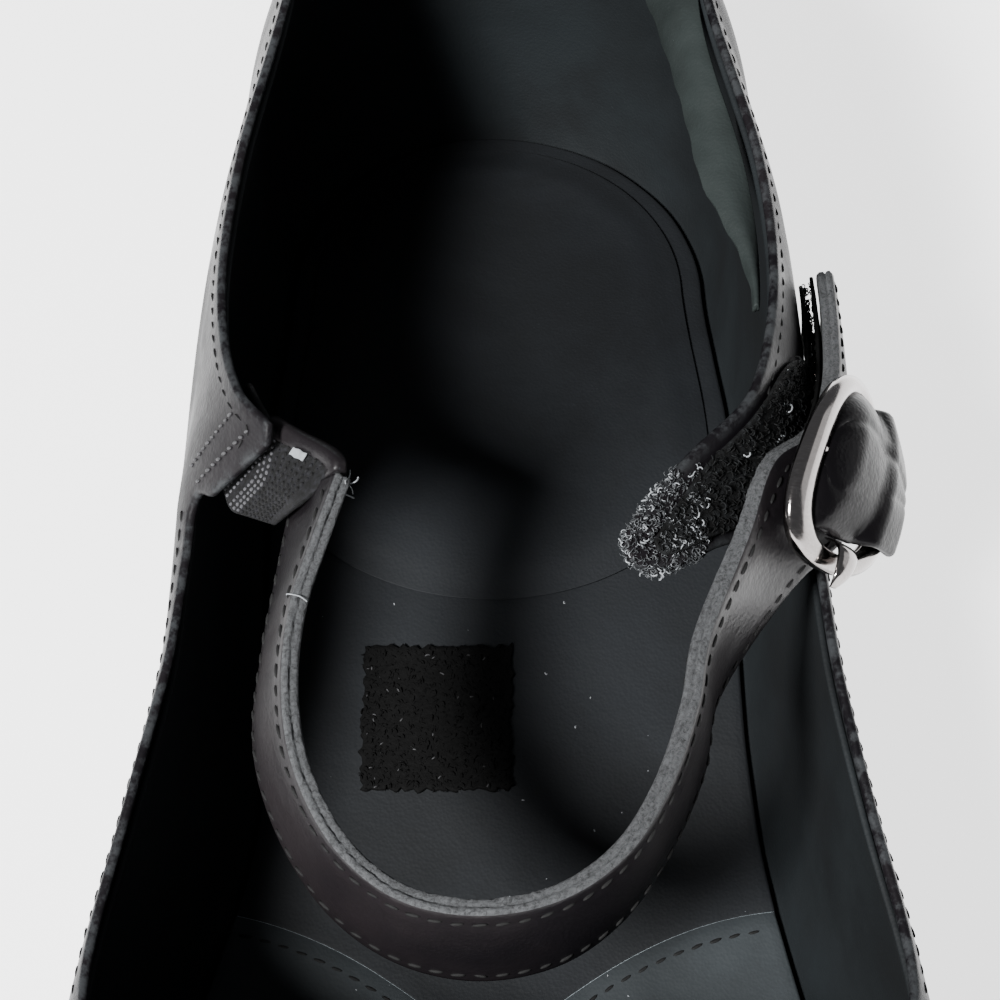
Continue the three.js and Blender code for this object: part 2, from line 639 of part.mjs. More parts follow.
// across: share of the ball width. at: share of the length. up: share of the instep height above the seat.
// tilt: degrees that the lower edge stands out. trail: degrees that it trails on, towards the gore.
const HANGING_ROWS = [
  { across: 0.285, at: 0.452, up: 0.598, tilt: 24, trail: -18 },
  { across: 0.234, at: 0.501, up: 0.57, tilt: 6, trail: -8 },
  { across: 0.22, at: 0.527, up: 0.548, tilt: 6 },
  { across: 0.184, at: 0.564, up: 0.523, tilt: 2 },
  { across: 0.14, at: 0.588, up: 0.504, tilt: 0 },
  { across: 0.076, at: 0.604, up: 0.491, tilt: 0 },
  { across: -0.009, at: 0.61, up: 0.485, tilt: 0 },
  { across: -0.093, at: 0.604, up: 0.491, tilt: 0 },
  { across: -0.158, at: 0.585, up: 0.51, tilt: 4 },
  { across: -0.203, at: 0.553, up: 0.535, tilt: 10 },
  { across: -0.217, at: 0.52, up: 0.56, tilt: 17 },
  { across: -0.21, at: 0.485, up: 0.585, tilt: 19 },
  { across: -0.189, at: 0.46, up: 0.61, tilt: 25, trail: 3 },
  { across: -0.164, at: 0.432, up: 0.635, tilt: 34, trail: 14 },
];
const ACROSS = [0, 1 / 3, 2 / 3, 1];

const STRAP_CURVES = (() => {
  const onEar = EAR_ROWS.map(({ at, up }) =>
    ACROSS.map((v) => {
      const z = seat + up * INSTEP_HEIGHT - v * STRAP_WIDTH * EAR_DROP;
      return sidePoint(1, at * LENGTH, z, ON_EAR);
    }));
  const edge = HANGING_ROWS.map(({ across, at, up }) =>
    new THREE.Vector3(across * BALL_WIDTH, (0.5 - at) * LENGTH, seat + up * INSTEP_HEIGHT));
  const hanging = HANGING_ROWS.map(({ tilt, trail = 0 }, i) => {
    const before = edge[i - 1] ?? onEar[onEar.length - 1][0];
    const along = (edge[i + 1] ?? edge[i]).clone().sub(before);
    // Walking from the outer side to the inner side round the front, the way out is on the left.
    const out = new THREE.Vector3(-along.y, along.x, 0).normalize();
    const turn = THREE.MathUtils.degToRad(tilt);
    const width = out.multiplyScalar(Math.sin(turn)).setZ(-Math.cos(turn));
    width.addScaledVector(along.setZ(0).normalize(), Math.tan(THREE.MathUtils.degToRad(trail))).normalize();
    return ACROSS.map((v) => edge[i].clone().addScaledVector(width, v * STRAP_WIDTH));
  });
  const rows = [...onEar, ...hanging];
  return ACROSS.map((_, j) => new THREE.CatmullRomCurve3(rows.map((row) => row[j]), false, "centripetal"));
})();

const STRAP_STEPS = 60;
const strapGrid = (from, to, steps, shares = ACROSS) =>
  Array.from({ length: steps + 1 }, (_, i) => shares.map((v) => strapPoint(from + ((to - from) * i) / steps, v)));

// A point of the strap's middle surface; u runs from its free end to the gore, v from the upper edge down.
function strapPoint(u, v) {
  const k = Math.min(ACROSS.length - 2, Math.max(0, Math.floor(v * (ACROSS.length - 1))));
  const [a, b] = [STRAP_CURVES[k], STRAP_CURVES[k + 1]].map((curve) => curve.getPoint(Math.min(1, Math.max(0, u))));
  return a.lerp(b, v * (ACROSS.length - 1) - k);
}

// A point beside the strap: along in mm from the free end, side in mm down from its middle, out of its face.
function besideStrap(along, side, out) {
  const middle = STRAP_CURVES[1];
  const u = middle.getUtoTmapping(Math.max(0, along) / middle.getLength());
  const v = 0.5 + side / STRAP_WIDTH;
  const step = 0.01;
  const du = strapPoint(u + step, v).sub(strapPoint(u - step, v));
  const dv = strapPoint(u, v + step).sub(strapPoint(u, v - step));
  return strapPoint(u, v).addScaledVector(du.cross(dv).normalize(), STRAP_THICKNESS / 2 + out);
}

function strap() {
  return sheet(strapGrid(0, 1, STRAP_STEPS), -STRAP_THICKNESS / 2, STRAP_THICKNESS / 2);
}

// Hook tape under the strap's free end, and pile tape on the outer ear
const HOOK_TAPE = { from: 0.004, to: 0.2, steps: 14, across: [0.06, 1 / 3, 2 / 3, 0.94] }; // shares of the strap
function hookTape() {
  const low = -STRAP_THICKNESS / 2 - GAP - TAPE_THICKNESS;
  const grid = strapGrid(HOOK_TAPE.from, HOOK_TAPE.to, HOOK_TAPE.steps, HOOK_TAPE.across);
  return sheet(grid, low, low + TAPE_THICKNESS);
}

function pileTape() {
  const shape = new THREE.Shape();
  shape.moveTo(...place(0.27, 0.36).toArray());
  shape.lineTo(...place(0.268, 0.48).toArray());
  shape.lineTo(...place(0.33, 0.5).toArray());
  shape.quadraticCurveTo(...place(0.345, 0.605).toArray(), ...place(0.39, 0.618).toArray());
  shape.lineTo(...place(0.462, 0.622).toArray());
  shape.quadraticCurveTo(...place(0.47, 0.62).toArray(), ...place(0.468, 0.603).toArray());
  shape.lineTo(...place(0.447, 0.57).toArray());
  shape.quadraticCurveTo(...place(0.425, 0.525).toArray(), ...place(0.405, 0.43).toArray());
  return wallFrom({ outer: shape.getPoints(8) }, GAP, GAP + TAPE_THICKNESS);
}

// The gore is the inner ear's stretch panel. It starts behind the ear's leather and is sewn to the
// strap's end. low and high are the heights of its edges as shares of the instep height.
const GORE_BEHIND_EAR = [
  { at: 0.374, low: 0.505, high: 0.615 },
  { at: 0.392, low: 0.503, high: 0.615 },
  { at: 0.411, low: 0.5, high: 0.612 },
];
const GORE_END = { along: 0.985, inset: 0.04 }; // shares of the strap's run and width
function gore() {
  const shares = [0, 1 / 3, 2 / 3, 1];
  const behind = -WALL - GAP - GORE_THICKNESS / 2;
  const inEar = GORE_BEHIND_EAR.map(({ at, low, high }) =>
    shares.map((k) => sidePoint(-1, at * LENGTH, seat + INSTEP_HEIGHT * (high + (low - high) * k), behind)));
  // The last row stands before the strap's outer face.
  const clear = STRAP_THICKNESS / 2 + 3 * GAP;
  const atStrap = shares.map((k) => {
    const v = GORE_END.inset + (1 - 2 * GORE_END.inset) * k;
    const step = 0.01;
    const du = strapPoint(GORE_END.along, v).sub(strapPoint(GORE_END.along - step, v));
    const dv = strapPoint(GORE_END.along, v + step).sub(strapPoint(GORE_END.along, v - step));
    return strapPoint(GORE_END.along, v).addScaledVector(du.cross(dv).normalize(), clear);
  });
  const before = inEar[inEar.length - 1];
  const between = [1 / 3, 2 / 3].map((k) => before.map((p, j) => p.clone().lerp(atStrap[j], k)));
  const grid = [...inEar, ...between, atStrap];
  return sheet(grid, -GORE_THICKNESS / 2, GORE_THICKNESS / 2);
}

// Buckle: an oval frame with a middle bar, a prong and a leather loop that is sewn over the bar
const BUCKLE_PLACE = 33; // from the strap's free end
const BUCKLE_STANDS_OUT = 0.8; // the rim's middle beyond each edge of the strap
const BUCKLE_TURN = 18 * (Math.PI / 180); // it has slipped round on the strap, its end towards the toe down
const BUCKLE_HALF = { along: (BUCKLE_LENGTH - BUCKLE_BAR) / 2, across: STRAP_WIDTH / 2 + BUCKLE_STANDS_OUT };
function onBuckle(along, side, out) {
  const [c, s] = [Math.cos(BUCKLE_TURN), Math.sin(BUCKLE_TURN)];
  return besideStrap(BUCKLE_PLACE + along * c - side * s, along * s + side * c, GAP + out);
}

// A ring of section points swept through places; where it doesn't close, its ends are flat.
function sweep(places, closes) {
  const ring = places[0].length;
  const count = places.length;
  const faces = [];
  for (let i = 0; i < (closes ? count : count - 1); i++)
    for (let j = 0; j < ring; j++) {
      const [a, b] = [i * ring + j, i * ring + ((j + 1) % ring)];
      const [c, d] = [((i + 1) % count) * ring + ((j + 1) % ring), ((i + 1) % count) * ring + j];
      faces.push([a, c, b], [a, d, c]);
    }
  if (!closes)
    for (let j = 1; j + 1 < ring; j++) {
      const end = (count - 1) * ring;
      faces.push([0, j, j + 1], [end, end + j + 1, end + j]);
    }
  return closed(places.flat(), faces);
}

const OVAL = { steps: 32, section: 8, square: 0.86 };
const MIDDLE_BAR = { along: 0.9, up: 0.8, steps: 6 }; // half-sizes of its section
function buckleFrame() {
  const places = [];
  for (let i = 0; i < OVAL.steps; i++) {
    const turn = (2 * Math.PI * i) / OVAL.steps;
    const [c, s] = [Math.cos(turn), Math.sin(turn)].map((k) => Math.sign(k) * Math.abs(k) ** OVAL.square);
    places.push(Array.from({ length: OVAL.section }, (_, j) => {
      const phi = (2 * Math.PI * j) / OVAL.section;
      const reach = (BUCKLE_BAR / 2) * Math.cos(phi);
      const rise = (BUCKLE_THICKNESS / 2) * (1 + Math.sin(phi));
      return onBuckle((BUCKLE_HALF.along + reach) * c, (BUCKLE_HALF.across + reach) * s, rise);
    }));
  }
  const bar = [];
  for (let i = 0; i <= MIDDLE_BAR.steps; i++) {
    const side = BUCKLE_HALF.across * ((2 * i) / MIDDLE_BAR.steps - 1);
    bar.push(Array.from({ length: OVAL.section }, (_, j) => {
      const phi = (2 * Math.PI * j) / OVAL.section;
      const up = BUCKLE_THICKNESS / 2 + MIDDLE_BAR.up * Math.sin(phi);
      return onBuckle(MIDDLE_BAR.along * Math.cos(phi), side, up);
    }));
  }
  return geometryOf(solid(sweep(places, true)).add(solid(sweep(bar, false))));
}

// The prong lies over the frame's end towards the toe. past: how far beyond the rim's middle a row lies.
const PRONG_HALF = 0.65; // half the prong's thickness
const PRONG_ROWS = [
  { past: -BUCKLE_BAR, width: 1, up: PRONG_HALF + GAP },
  { past: -0.72 * BUCKLE_BAR, width: 1, up: BUCKLE_THICKNESS + PRONG_HALF - GAP / 2 },
  { past: -0.22 * BUCKLE_BAR, width: 1, up: BUCKLE_THICKNESS + PRONG_HALF + 2 * GAP },
  { past: 0.5 * BUCKLE_BAR, width: 0.75, up: BUCKLE_THICKNESS + PRONG_HALF + 2.5 * GAP },
  { past: 1.1 * BUCKLE_BAR, width: 0.3, up: BUCKLE_THICKNESS + PRONG_HALF + GAP },
];
function buckleProng() {
  const places = PRONG_ROWS.map(({ past, width, up }) =>
    Array.from({ length: 6 }, (_, j) => {
      const phi = (-2 * Math.PI * j) / 6;
      const side = (PRONG_WIDTH / 2) * width * Math.cos(phi);
      return onBuckle(BUCKLE_HALF.along + past, side, up + PRONG_HALF * width * Math.sin(phi));
    }));
  return sweep(places, false);
}

// The cover domes over the bar and reaches past the frame's lower side, where its edge turns down.
const COVER_THICKNESS = 1.3;
const COVER_HALF = BUCKLE_HALF.along - 1.32 * BUCKLE_BAR;
const COVER_SIDES = { from: 1.35 * BUCKLE_BAR - BUCKLE_HALF.across, to: BUCKLE_HALF.across + 0.95 * BUCKLE_BAR };
const COVER_OVER_FRAME = BUCKLE_THICKNESS + 1.7 * GAP;
function buckleCover() {
  const grid = [];
  for (let i = 0; i <= 10; i++) {
    const k = i / 5 - 1;
    const row = [];
    for (let j = 0; j <= 9; j++) {
      const side = COVER_SIDES.from + ((COVER_SIDES.to - COVER_SIDES.from) * j) / 9;
      const dome = COVER_RISE * Math.sqrt(Math.max(0, 1 - (0.98 * k) ** 2));
      const overFrame = COVER_OVER_FRAME * smooth(0.12, 0.43, side / BUCKLE_HALF.across);
      const turned = 1 - 0.5 * smooth(COVER_SIDES.to - 0.55 * BUCKLE_BAR, COVER_SIDES.to, side);
      row.push(onBuckle(COVER_HALF * k, side, COVER_THICKNESS / 2 + Math.max(dome, overFrame) * turned));
    }
    grid.push(row);
  }
  return sheet(grid, -COVER_THICKNESS / 2, COVER_THICKNESS / 2);
}

const LOOKS = {
  leather: { color: 0x17171a, roughness: 0.38, metalness: 0 },
  lining: { color: 0x3a4048, roughness: 0.8, metalness: 0 },
  rubber: { color: 0x1a1a1b, roughness: 0.7, metalness: 0 },
  fibre: { color: 0x6d5b49, roughness: 0.9, metalness: 0 },
  elastic: { color: 0x1c1d20, roughness: 0.85, metalness: 0 },
  tape: { color: 0x202124, roughness: 0.95, metalness: 0 },
  silver: { color: 0xc9c4c0, roughness: 0.18, metalness: 1 },
};

function mesh(name, geometry, look) {
  const made = new THREE.Mesh(geometry, new THREE.MeshStandardMaterial(LOOKS[look]));
  made.name = name;
  return made;
}

const shoe = new THREE.Group();
shoe.add(
  mesh("upper", wallFrom(UPPER_OUTLINES, -WALL, 0), "leather"),
  mesh("outsole", outsole(), "rubber"),
  mesh("heel_block", heelBlock(), "rubber"),
  mesh("heel_top_piece", topPiece(), "rubber"),
  mesh("insole_board", insoleBoard(), "fibre"),
  mesh("rear_sock", rearSock(), "lining"),
  mesh("forepart_sock", forepartSock(), "lining"),
  mesh("heel_pad", heelPad(), "lining"),
  mesh("sock_patch", sockPatch(), "tape"),
  mesh("gore", gore(), "elastic"),
  mesh("strap", strap(), "leather"),
  mesh("hook_tape", hookTape(), "tape"),
  mesh("pile_tape", pileTape(), "tape"),
  mesh("buckle_frame", buckleFrame(), "silver"),
  mesh("buckle_prong", buckleProng(), "silver"),
  mesh("buckle_cover", buckleCover(), "leather"),
);
export default shoe;
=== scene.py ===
import math

import bpy
import numpy as np
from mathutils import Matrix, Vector


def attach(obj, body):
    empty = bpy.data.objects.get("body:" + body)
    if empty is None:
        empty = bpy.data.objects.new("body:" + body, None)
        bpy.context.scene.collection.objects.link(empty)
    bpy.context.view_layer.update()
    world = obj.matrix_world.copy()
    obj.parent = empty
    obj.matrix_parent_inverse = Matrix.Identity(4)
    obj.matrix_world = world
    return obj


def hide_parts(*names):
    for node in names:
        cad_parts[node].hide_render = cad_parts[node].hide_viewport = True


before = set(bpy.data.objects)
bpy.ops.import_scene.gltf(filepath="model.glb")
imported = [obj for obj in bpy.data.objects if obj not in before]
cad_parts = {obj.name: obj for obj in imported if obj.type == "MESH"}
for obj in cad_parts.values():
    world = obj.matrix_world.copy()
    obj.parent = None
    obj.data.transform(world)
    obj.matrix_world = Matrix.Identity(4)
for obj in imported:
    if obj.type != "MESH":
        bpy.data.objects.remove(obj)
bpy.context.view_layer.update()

MM = 0.001

# Sizes of the shoe, as in the part's source
LENGTH = 250
BALL_WIDTH = 92
INSTEP_HEIGHT = 80
HEEL_HEIGHT = 18
TOE_SPRING = 9
WALL = 2
GAP = 0.3
OUTSOLE_THICKNESS = 4.2
OUTSOLE_EDGE = 0.6
TOP_PIECE_THICKNESS = 5
HEEL_TAPER = 2.2
INSOLE_THICKNESS = 2.2
SOCK_THICKNESS = 1.2
HEEL_PAD_THICKNESS = 0.8
STRAP_WIDTH = 13.5
STRAP_THICKNESS = 2.2
GORE_THICKNESS = 1.2
TAPE_THICKNESS = 0.8
BUCKLE_LENGTH = 30
BUCKLE_BAR = 2.9
BUCKLE_THICKNESS = 2.2
PRONG_WIDTH = 2.6
COVER_CROWN = 2.5
PATCH_SIDE = 18
PATCH_THICKNESS = 0.6 * TAPE_THICKNESS
HEEL_CENTRE = 0.14
TOE_CENTRE = 0.74
HEEL_BREAST = 0.235
BULGE_AT = 0.34
HEEL_UPRIGHT = 0.45

# Fineness of the visible surfaces
CELL = 1.15
RIM_STEPS = 6


def table(columns, rows):
    """A table of named columns, as one array for each column."""
    return dict(zip(columns.split(), np.array(rows, float).T))


# The last, the form a shoe is made on, seen from above: shares of the ball width at shares of the length
PLAN = table("at outer inner tuck_outer tuck_inner axis lean", [
    (0, 0.37, 0.348, 0.05, 0.046, 0, 0),
    (0.14, 0.37, 0.348, 0.05, 0.046, 0, 0),
    (0.24, 0.4, 0.372, 0.058, 0.056, 0, 0.004),
    (0.32, 0.406, 0.384, 0.064, 0.076, 0, 0.012),
    (0.38, 0.406, 0.388, 0.062, 0.09, 0, 0.035),
    (0.42, 0.41, 0.386, 0.06, 0.088, 0, 0.065),
    (0.47, 0.42, 0.392, 0.052, 0.076, 0, 0.07),
    (0.53, 0.448, 0.424, 0.042, 0.056, 0, 0.03),
    (0.6, 0.49, 0.466, 0.036, 0.036, 0, 0),
    (0.66, 0.514, 0.49, 0.036, 0.032, -0.002, 0),
    (0.73, 0.512, 0.502, 0.036, 0.032, -0.008, 0),
    (0.82, 0.465, 0.47, 0.036, 0.034, -0.022, 0),
    (0.91, 0.4, 0.4, 0.036, 0.036, -0.044, 0),
    (1, 0.3, 0.3, 0.036, 0.036, -0.07, 0),
])

# The last seen from the side: shares of the instep height, and the squareness of the section
PROFILE = table("at bulge ridge box", [
    (0, 0.27, 0.94, 2),
    (0.14, 0.27, 0.95, 2),
    (0.24, 0.32, 0.98, 2),
    (0.32, 0.38, 1, 2),
    (0.38, 0.43, 0.98, 2),
    (0.42, 0.46, 0.87, 2),
    (0.47, 0.47, 0.83, 2),
    (0.53, 0.46, 0.76, 2.2),
    (0.6, 0.42, 0.69, 2.5),
    (0.66, 0.37, 0.63, 2.6),
    (0.73, 0.3, 0.55, 2.5),
    (0.82, 0.22, 0.465, 2.4),
    (0.91, 0.16, 0.37, 2.3),
    (1, 0.12, 0.27, 2.3),
])

# The underside of the outsole: shares of the heel height and of the toe spring
SOLE_LINE = table("at heel toe", [
    (0, 1, 0),
    (0.22, 1, 0),
    (0.26, 0.965, 0),
    (0.32, 0.83, 0),
    (0.4, 0.575, 0),
    (0.48, 0.3, 0),
    (0.56, 0.085, 0),
    (0.63, 0, 0),
    (0.77, 0, 0),
    (0.83, 0, 0.13),
    (0.91, 0, 0.5),
    (1, 0, 1),
])


def column(rows, key, at):
    """A smooth value of one column of a table, by cubic pieces between its rows."""
    x = rows["at"]
    y = rows[key]
    slopes = np.zeros(len(x))
    slopes[1:-1] = (y[2:] - y[:-2]) / (x[2:] - x[:-2])
    at = np.clip(at, x[0], x[-1])
    i = np.clip(np.searchsorted(x, at) - 1, 0, len(x) - 2)
    span = x[i + 1] - x[i]
    t = (at - x[i]) / span
    flat = y[i] == y[i + 1]
    start = np.where(flat, 0, slopes[i] * span)
    stop = np.where(flat, 0, slopes[i + 1] * span)
    curve = y[i] * (2 * t**3 - 3 * t**2 + 1) + y[i + 1] * (3 * t**2 - 2 * t**3)
    return curve + start * (t**3 - 2 * t**2 + t) + stop * (t**3 - t**2)


def smooth(low, high, value):
    """A soft step from 0 to 1 between two values."""
    t = np.clip((value - low) / (high - low), 0, 1)
    return t * t * (3 - 2 * t)


def unit(vectors):
    """Vectors brought to length 1."""
    size = np.linalg.norm(vectors, axis=-1, keepdims=True)
    return vectors / np.maximum(size, 1e-9)


def round_turns(count):
    """Angles spread evenly round a circle."""
    return np.linspace(0, 2 * math.pi, count + 1)[:-1]


def squared(wave, power):
    """A sine or cosine made squarer by a power under 1."""
    return np.sign(wave) * np.abs(wave) ** power


def running_length(points):
    """Distance of each point of a line from its start, along the line."""
    return np.concatenate([[0], np.cumsum(np.linalg.norm(np.diff(points, axis=0), axis=1))])


def sole_under(s):
    """Height of the outsole's underside at a distance s from the heel's back."""
    at = s / LENGTH
    return HEEL_HEIGHT * column(SOLE_LINE, "heel", at) + TOE_SPRING * column(SOLE_LINE, "toe", at)


def sole_top(s):
    return sole_under(s) + OUTSOLE_THICKNESS


def feather(s):
    """Height of the line where the upper meets the sole."""
    return sole_top(s) + GAP


def insole_top(s):
    return feather(s) + INSOLE_THICKNESS


def sock_top(s):
    return insole_top(s) + GAP + SOCK_THICKNESS


def across(key, s):
    """A width of the last at a distance from the heel's back."""
    return BALL_WIDTH * column(PLAN, key, s / LENGTH)


def upwards(key, s):
    """A height of the last above its feather line."""
    return INSTEP_HEIGHT * column(PROFILE, key, s / LENGTH)


SEAT = float(sole_top(0))


def last_point(side, centre, turn, heel, t):
    """Points of the last: side is 1 outer or -1 inner, centre the distance of the column from the heel's
    back, turn its angle round the heel's or toe's centre and t its share of the way up."""
    side, centre, turn, heel, t = np.broadcast_arrays(side, centre, turn, heel, t)
    reach_x = np.where(side > 0, across("outer", centre), across("inner", centre))
    tuck = np.where(side > 0, across("tuck_outer", centre), across("tuck_inner", centre))
    reach_s = np.where(heel, -centre, LENGTH - centre)
    edge_s = centre + reach_s * np.sin(turn)
    bulge = upwards("bulge", edge_s)
    box = 2 / column(PROFILE, "box", edge_s / LENGTH)
    below = t <= BULGE_AT
    phi = np.where(below, t / BULGE_AT, (t - BULGE_AT) / (1 - BULGE_AT)) * math.pi / 2
    upper_share = np.clip(np.cos(phi), 0, 1) ** box
    share = np.where(below, 1 - tuck / reach_x * (1 - np.sin(phi)), upper_share)
    rise = np.where(below, 1 - np.cos(phi), np.clip(np.sin(phi), 0, 1) ** box)
    lengthwise = np.where(heel, 1 - (1 - share) * HEEL_UPRIGHT, share)
    s = centre + reach_s * lengthwise * np.sin(turn)
    height = np.where(below, bulge * rise, bulge + (upwards("ridge", s) - bulge) * rise)
    z = feather(s) + height
    lean = across("lean", s) * smooth(SEAT + 0.36 * INSTEP_HEIGHT, SEAT + 0.62 * INSTEP_HEIGHT, z)
    half = np.maximum(0, reach_x * share * np.cos(turn) - lean)
    return np.stack([across("axis", s) + side * half, LENGTH / 2 - s, z], -1)


def side_point(side, s, z, out):
    """Points on the last's straight side at distances from the heel's back and heights, moved outwards."""
    s, z = np.broadcast_arrays(np.asarray(s, float), np.asarray(z, float))
    low = np.zeros(s.shape)
    high = np.ones(s.shape)
    for _ in range(40):
        middle = (low + high) / 2
        under = last_point(side, s, 0, False, middle)[..., 2] < z
        low = np.where(under, middle, low)
        high = np.where(under, high, middle)
    up = last_point(side, s, 0, False, np.minimum(1, low + 0.01)) - last_point(side, s, 0, False, low - 0.01)
    along = last_point(side, s + 1, 0, False, low) - last_point(side, s - 1, 0, False, low)
    normal = unit(np.cross(up, along) * side)
    return last_point(side, s, 0, False, low) + normal * out


def columns_round(fineness, to=1.0, side=None):
    """Columns of the last as rows of side, centre, turn and heel, from the heel's back along one side."""
    heel_count = max(4, round(54 / fineness))
    toe_count = max(4, round(84 / fineness))
    last = min(to, TOE_CENTRE)
    side_count = max(3, round((last - HEEL_CENTRE) * LENGTH / fineness))
    rows = [(HEEL_CENTRE * LENGTH, math.pi / 2 * (1 - i / heel_count), 1) for i in range(heel_count)]
    rows += [(float(v) * LENGTH, 0, 0) for v in np.linspace(HEEL_CENTRE, last, side_count + 1)]
    if to > TOE_CENTRE:
        rows += [(TOE_CENTRE * LENGTH, math.pi / 2 * (i + 1) / toe_count, 0) for i in range(toe_count)]
    return np.array([(side, *row) for row in rows])


# Side outlines of the upper, as distances from the heel's back and heights

def place(at, up):
    """A point of a side outline from shares of the length and of the instep height."""
    return (at * LENGTH, SEAT + up * INSTEP_HEIGHT)


def spline(points, per=12):
    """A smooth line through points, with the same weights as the source's."""
    points = np.array(points, float)
    ends = np.vstack([points[:1], points, points[-1:]])
    found = []
    for k in range(len(points) - 1):
        a, b, c, d = ends[k:k + 4]
        t = np.arange(per)[:, None] / per
        v0 = (c - a) / 2
        v1 = (d - b) / 2
        found.append((2 * b - 2 * c + v0 + v1) * t**3 + (-3 * b + 3 * c - 2 * v0 - v1) * t**2 + v0 * t + b)
    return np.vstack([*found, points[-1:]])


def bend(start, control, stop, per=10):
    """A curve from start to stop that is pulled towards its control point."""
    t = np.linspace(0, 1, per + 1)[1:, None]
    start, control, stop = (np.array(p, float) for p in (start, control, stop))
    return (1 - t) ** 2 * start + 2 * t * (1 - t) * control + t**2 * stop


def top_line(ear_back, ear_tip, ear_front, notch, vamp):
    """The topline of one side: collar, ear, notch and throat, closed far outside the shoe."""
    heel = [place(0, 0.79), place(0.05, 0.775), place(0.15, 0.705), place(0.24, 0.655)]
    back = spline([*heel, *ear_back, ear_tip[0]][:-1])
    return np.vstack([
        [(-LENGTH, -LENGTH), (-LENGTH, place(0, 0.79)[1])],
        back,
        [ear_tip[0]],
        bend(*ear_tip),
        [ear_front],
        bend(ear_front, *notch),
        spline([notch[1], *vamp]),
        [place(0.745, 2), (2 * LENGTH, place(0, 2)[1]), (2 * LENGTH, -LENGTH)],
    ])


THROAT = [place(0.57, 0.325), place(0.61, 0.312), place(0.64, 0.333), place(0.668, 0.36), place(0.69, 0.374),
          place(0.705, 0.45)]

TOP_LINES = {
    1: top_line(
        ear_back=[place(0.3, 0.635), place(0.37, 0.633), place(0.42, 0.638), place(0.455, 0.642)],
        ear_tip=[place(0.463, 0.64), place(0.475, 0.638), place(0.476, 0.6)],
        ear_front=place(0.452, 0.565),
        notch=[place(0.43, 0.52), place(0.41, 0.42)],
        vamp=[place(0.43, 0.402), place(0.5, 0.372), *THROAT],
    ),
    -1: top_line(
        ear_back=[place(0.3, 0.635), place(0.35, 0.63), place(0.38, 0.633)],
        ear_tip=[place(0.402, 0.638), place(0.4095, 0.637), place(0.4095, 0.62)],
        ear_front=place(0.4075, 0.498),
        notch=[place(0.394, 0.48), place(0.406, 0.452)],
        vamp=[place(0.44, 0.42), place(0.5, 0.378), *THROAT],
    ),
}


def depth_inside(outline, s, z):
    """Distances of side-view points to an outline, positive inside it."""
    nearest = np.full(s.shape, np.inf)
    inside = np.zeros(s.shape, bool)
    for a, b in zip(outline, np.roll(outline, 1, 0)):
        edge = b - a
        k = np.clip(((s - a[0]) * edge[0] + (z - a[1]) * edge[1]) / max(1e-9, float(edge @ edge)), 0, 1)
        nearest = np.minimum(nearest, np.hypot(s - a[0] - k * edge[0], z - a[1] - k * edge[1]))
        if a[1] != b[1]:
            crosses = (a[1] > z) != (b[1] > z)
            inside ^= crosses & (s < edge[0] * (z - a[1]) / edge[1] + a[0])
    return np.where(inside, nearest, -nearest)


# Closed meshes from points and faces

def close_shell(outer, inner, faces, roundness=0.9, flat=None):
    """A closed wall between two layers of points with the same faces. Its free edges are rounded, apart
    from the flat ones. Gives points, faces and each face's layer: 0 outer, 1 edge, 2 inner."""
    count = len(outer)
    used = dict.fromkeys(pair for face in faces for pair in zip(face, (*face[1:], face[0])))
    border = [(p, q) for p, q in used if (q, p) not in used]
    half = (outer - inner) / 2
    out = np.zeros((count, 3))
    for p, q in border:
        away = np.cross(outer[q] - outer[p], half[p] + half[q])
        size = np.linalg.norm(away)
        if size > 1e-12:
            out[p] += away / size
            out[q] += away / size
    out = unit(out)
    after = dict(border)
    for _ in range(3):
        softened = out.copy()
        for p, q in border:
            softened[p] += out[q]
            softened[q] += out[p]
        out = unit(softened)
    reach = np.linalg.norm(half, axis=1, keepdims=True) * roundness
    if flat is not None:
        reach = np.where(flat[:, None], 0, reach)
    numbers = sorted(set(after) | {q for _, q in border})
    ring = {p: k for k, p in enumerate(numbers)}
    picked = np.array(numbers, int)
    points = [outer, inner]
    for step in range(1, RIM_STEPS):
        turn = math.pi * step / RIM_STEPS
        middle = (outer[picked] + inner[picked]) / 2
        points.append(middle + half[picked] * math.cos(turn) + out[picked] * reach[picked] * math.sin(turn))
    made = [tuple(f) for f in faces] + [tuple(v + count for v in reversed(f)) for f in faces]
    layer = [0] * len(faces) + [2] * len(faces)

    def number(p, step):
        if step == 0:
            return p
        if step == RIM_STEPS:
            return p + count
        return 2 * count + (step - 1) * len(numbers) + ring[p]

    for p, q in border:
        for step in range(RIM_STEPS):
            made.append((number(p, step), number(p, step + 1), number(q, step + 1), number(q, step)))
            layer.append(1)
    return np.vstack(points), made, layer


def grid_faces(rows, cols):
    """Quads of a grid of points, wound so that rows cross columns outwards."""
    return [
        (i * cols + j, (i + 1) * cols + j, (i + 1) * cols + j + 1, i * cols + j + 1)
        for i in range(rows - 1)
        for j in range(cols - 1)
    ]


def faces_up(grid):
    """Quads of a nearly level grid of points, wound to face up."""
    faces = grid_faces(*grid.shape[:2])
    normal = np.cross(grid[1, 0] - grid[0, 0], grid[0, 1] - grid[0, 0])
    return turned_over(faces) if normal[2] < 0 else faces


def turned_over(faces):
    return [tuple(reversed(face)) for face in faces]


def grid_normals(grid):
    return unit(np.cross(np.gradient(grid, axis=0), np.gradient(grid, axis=1)))


def swept(rows, closes=False):
    """Faces and points of rings swept along a path. Ends that don't meet are filled."""
    count, ring = rows.shape[:2]
    faces = []
    for i in range(count if closes else count - 1):
        k = (i + 1) % count
        for j in range(ring):
            m = (j + 1) % ring
            faces.append((i * ring + j, k * ring + j, k * ring + m, i * ring + m))
    if not closes:
        faces.append(tuple(range(ring)))
        faces.append(tuple((count - 1) * ring + j for j in reversed(range(ring))))
    return rows.reshape(-1, 3), faces


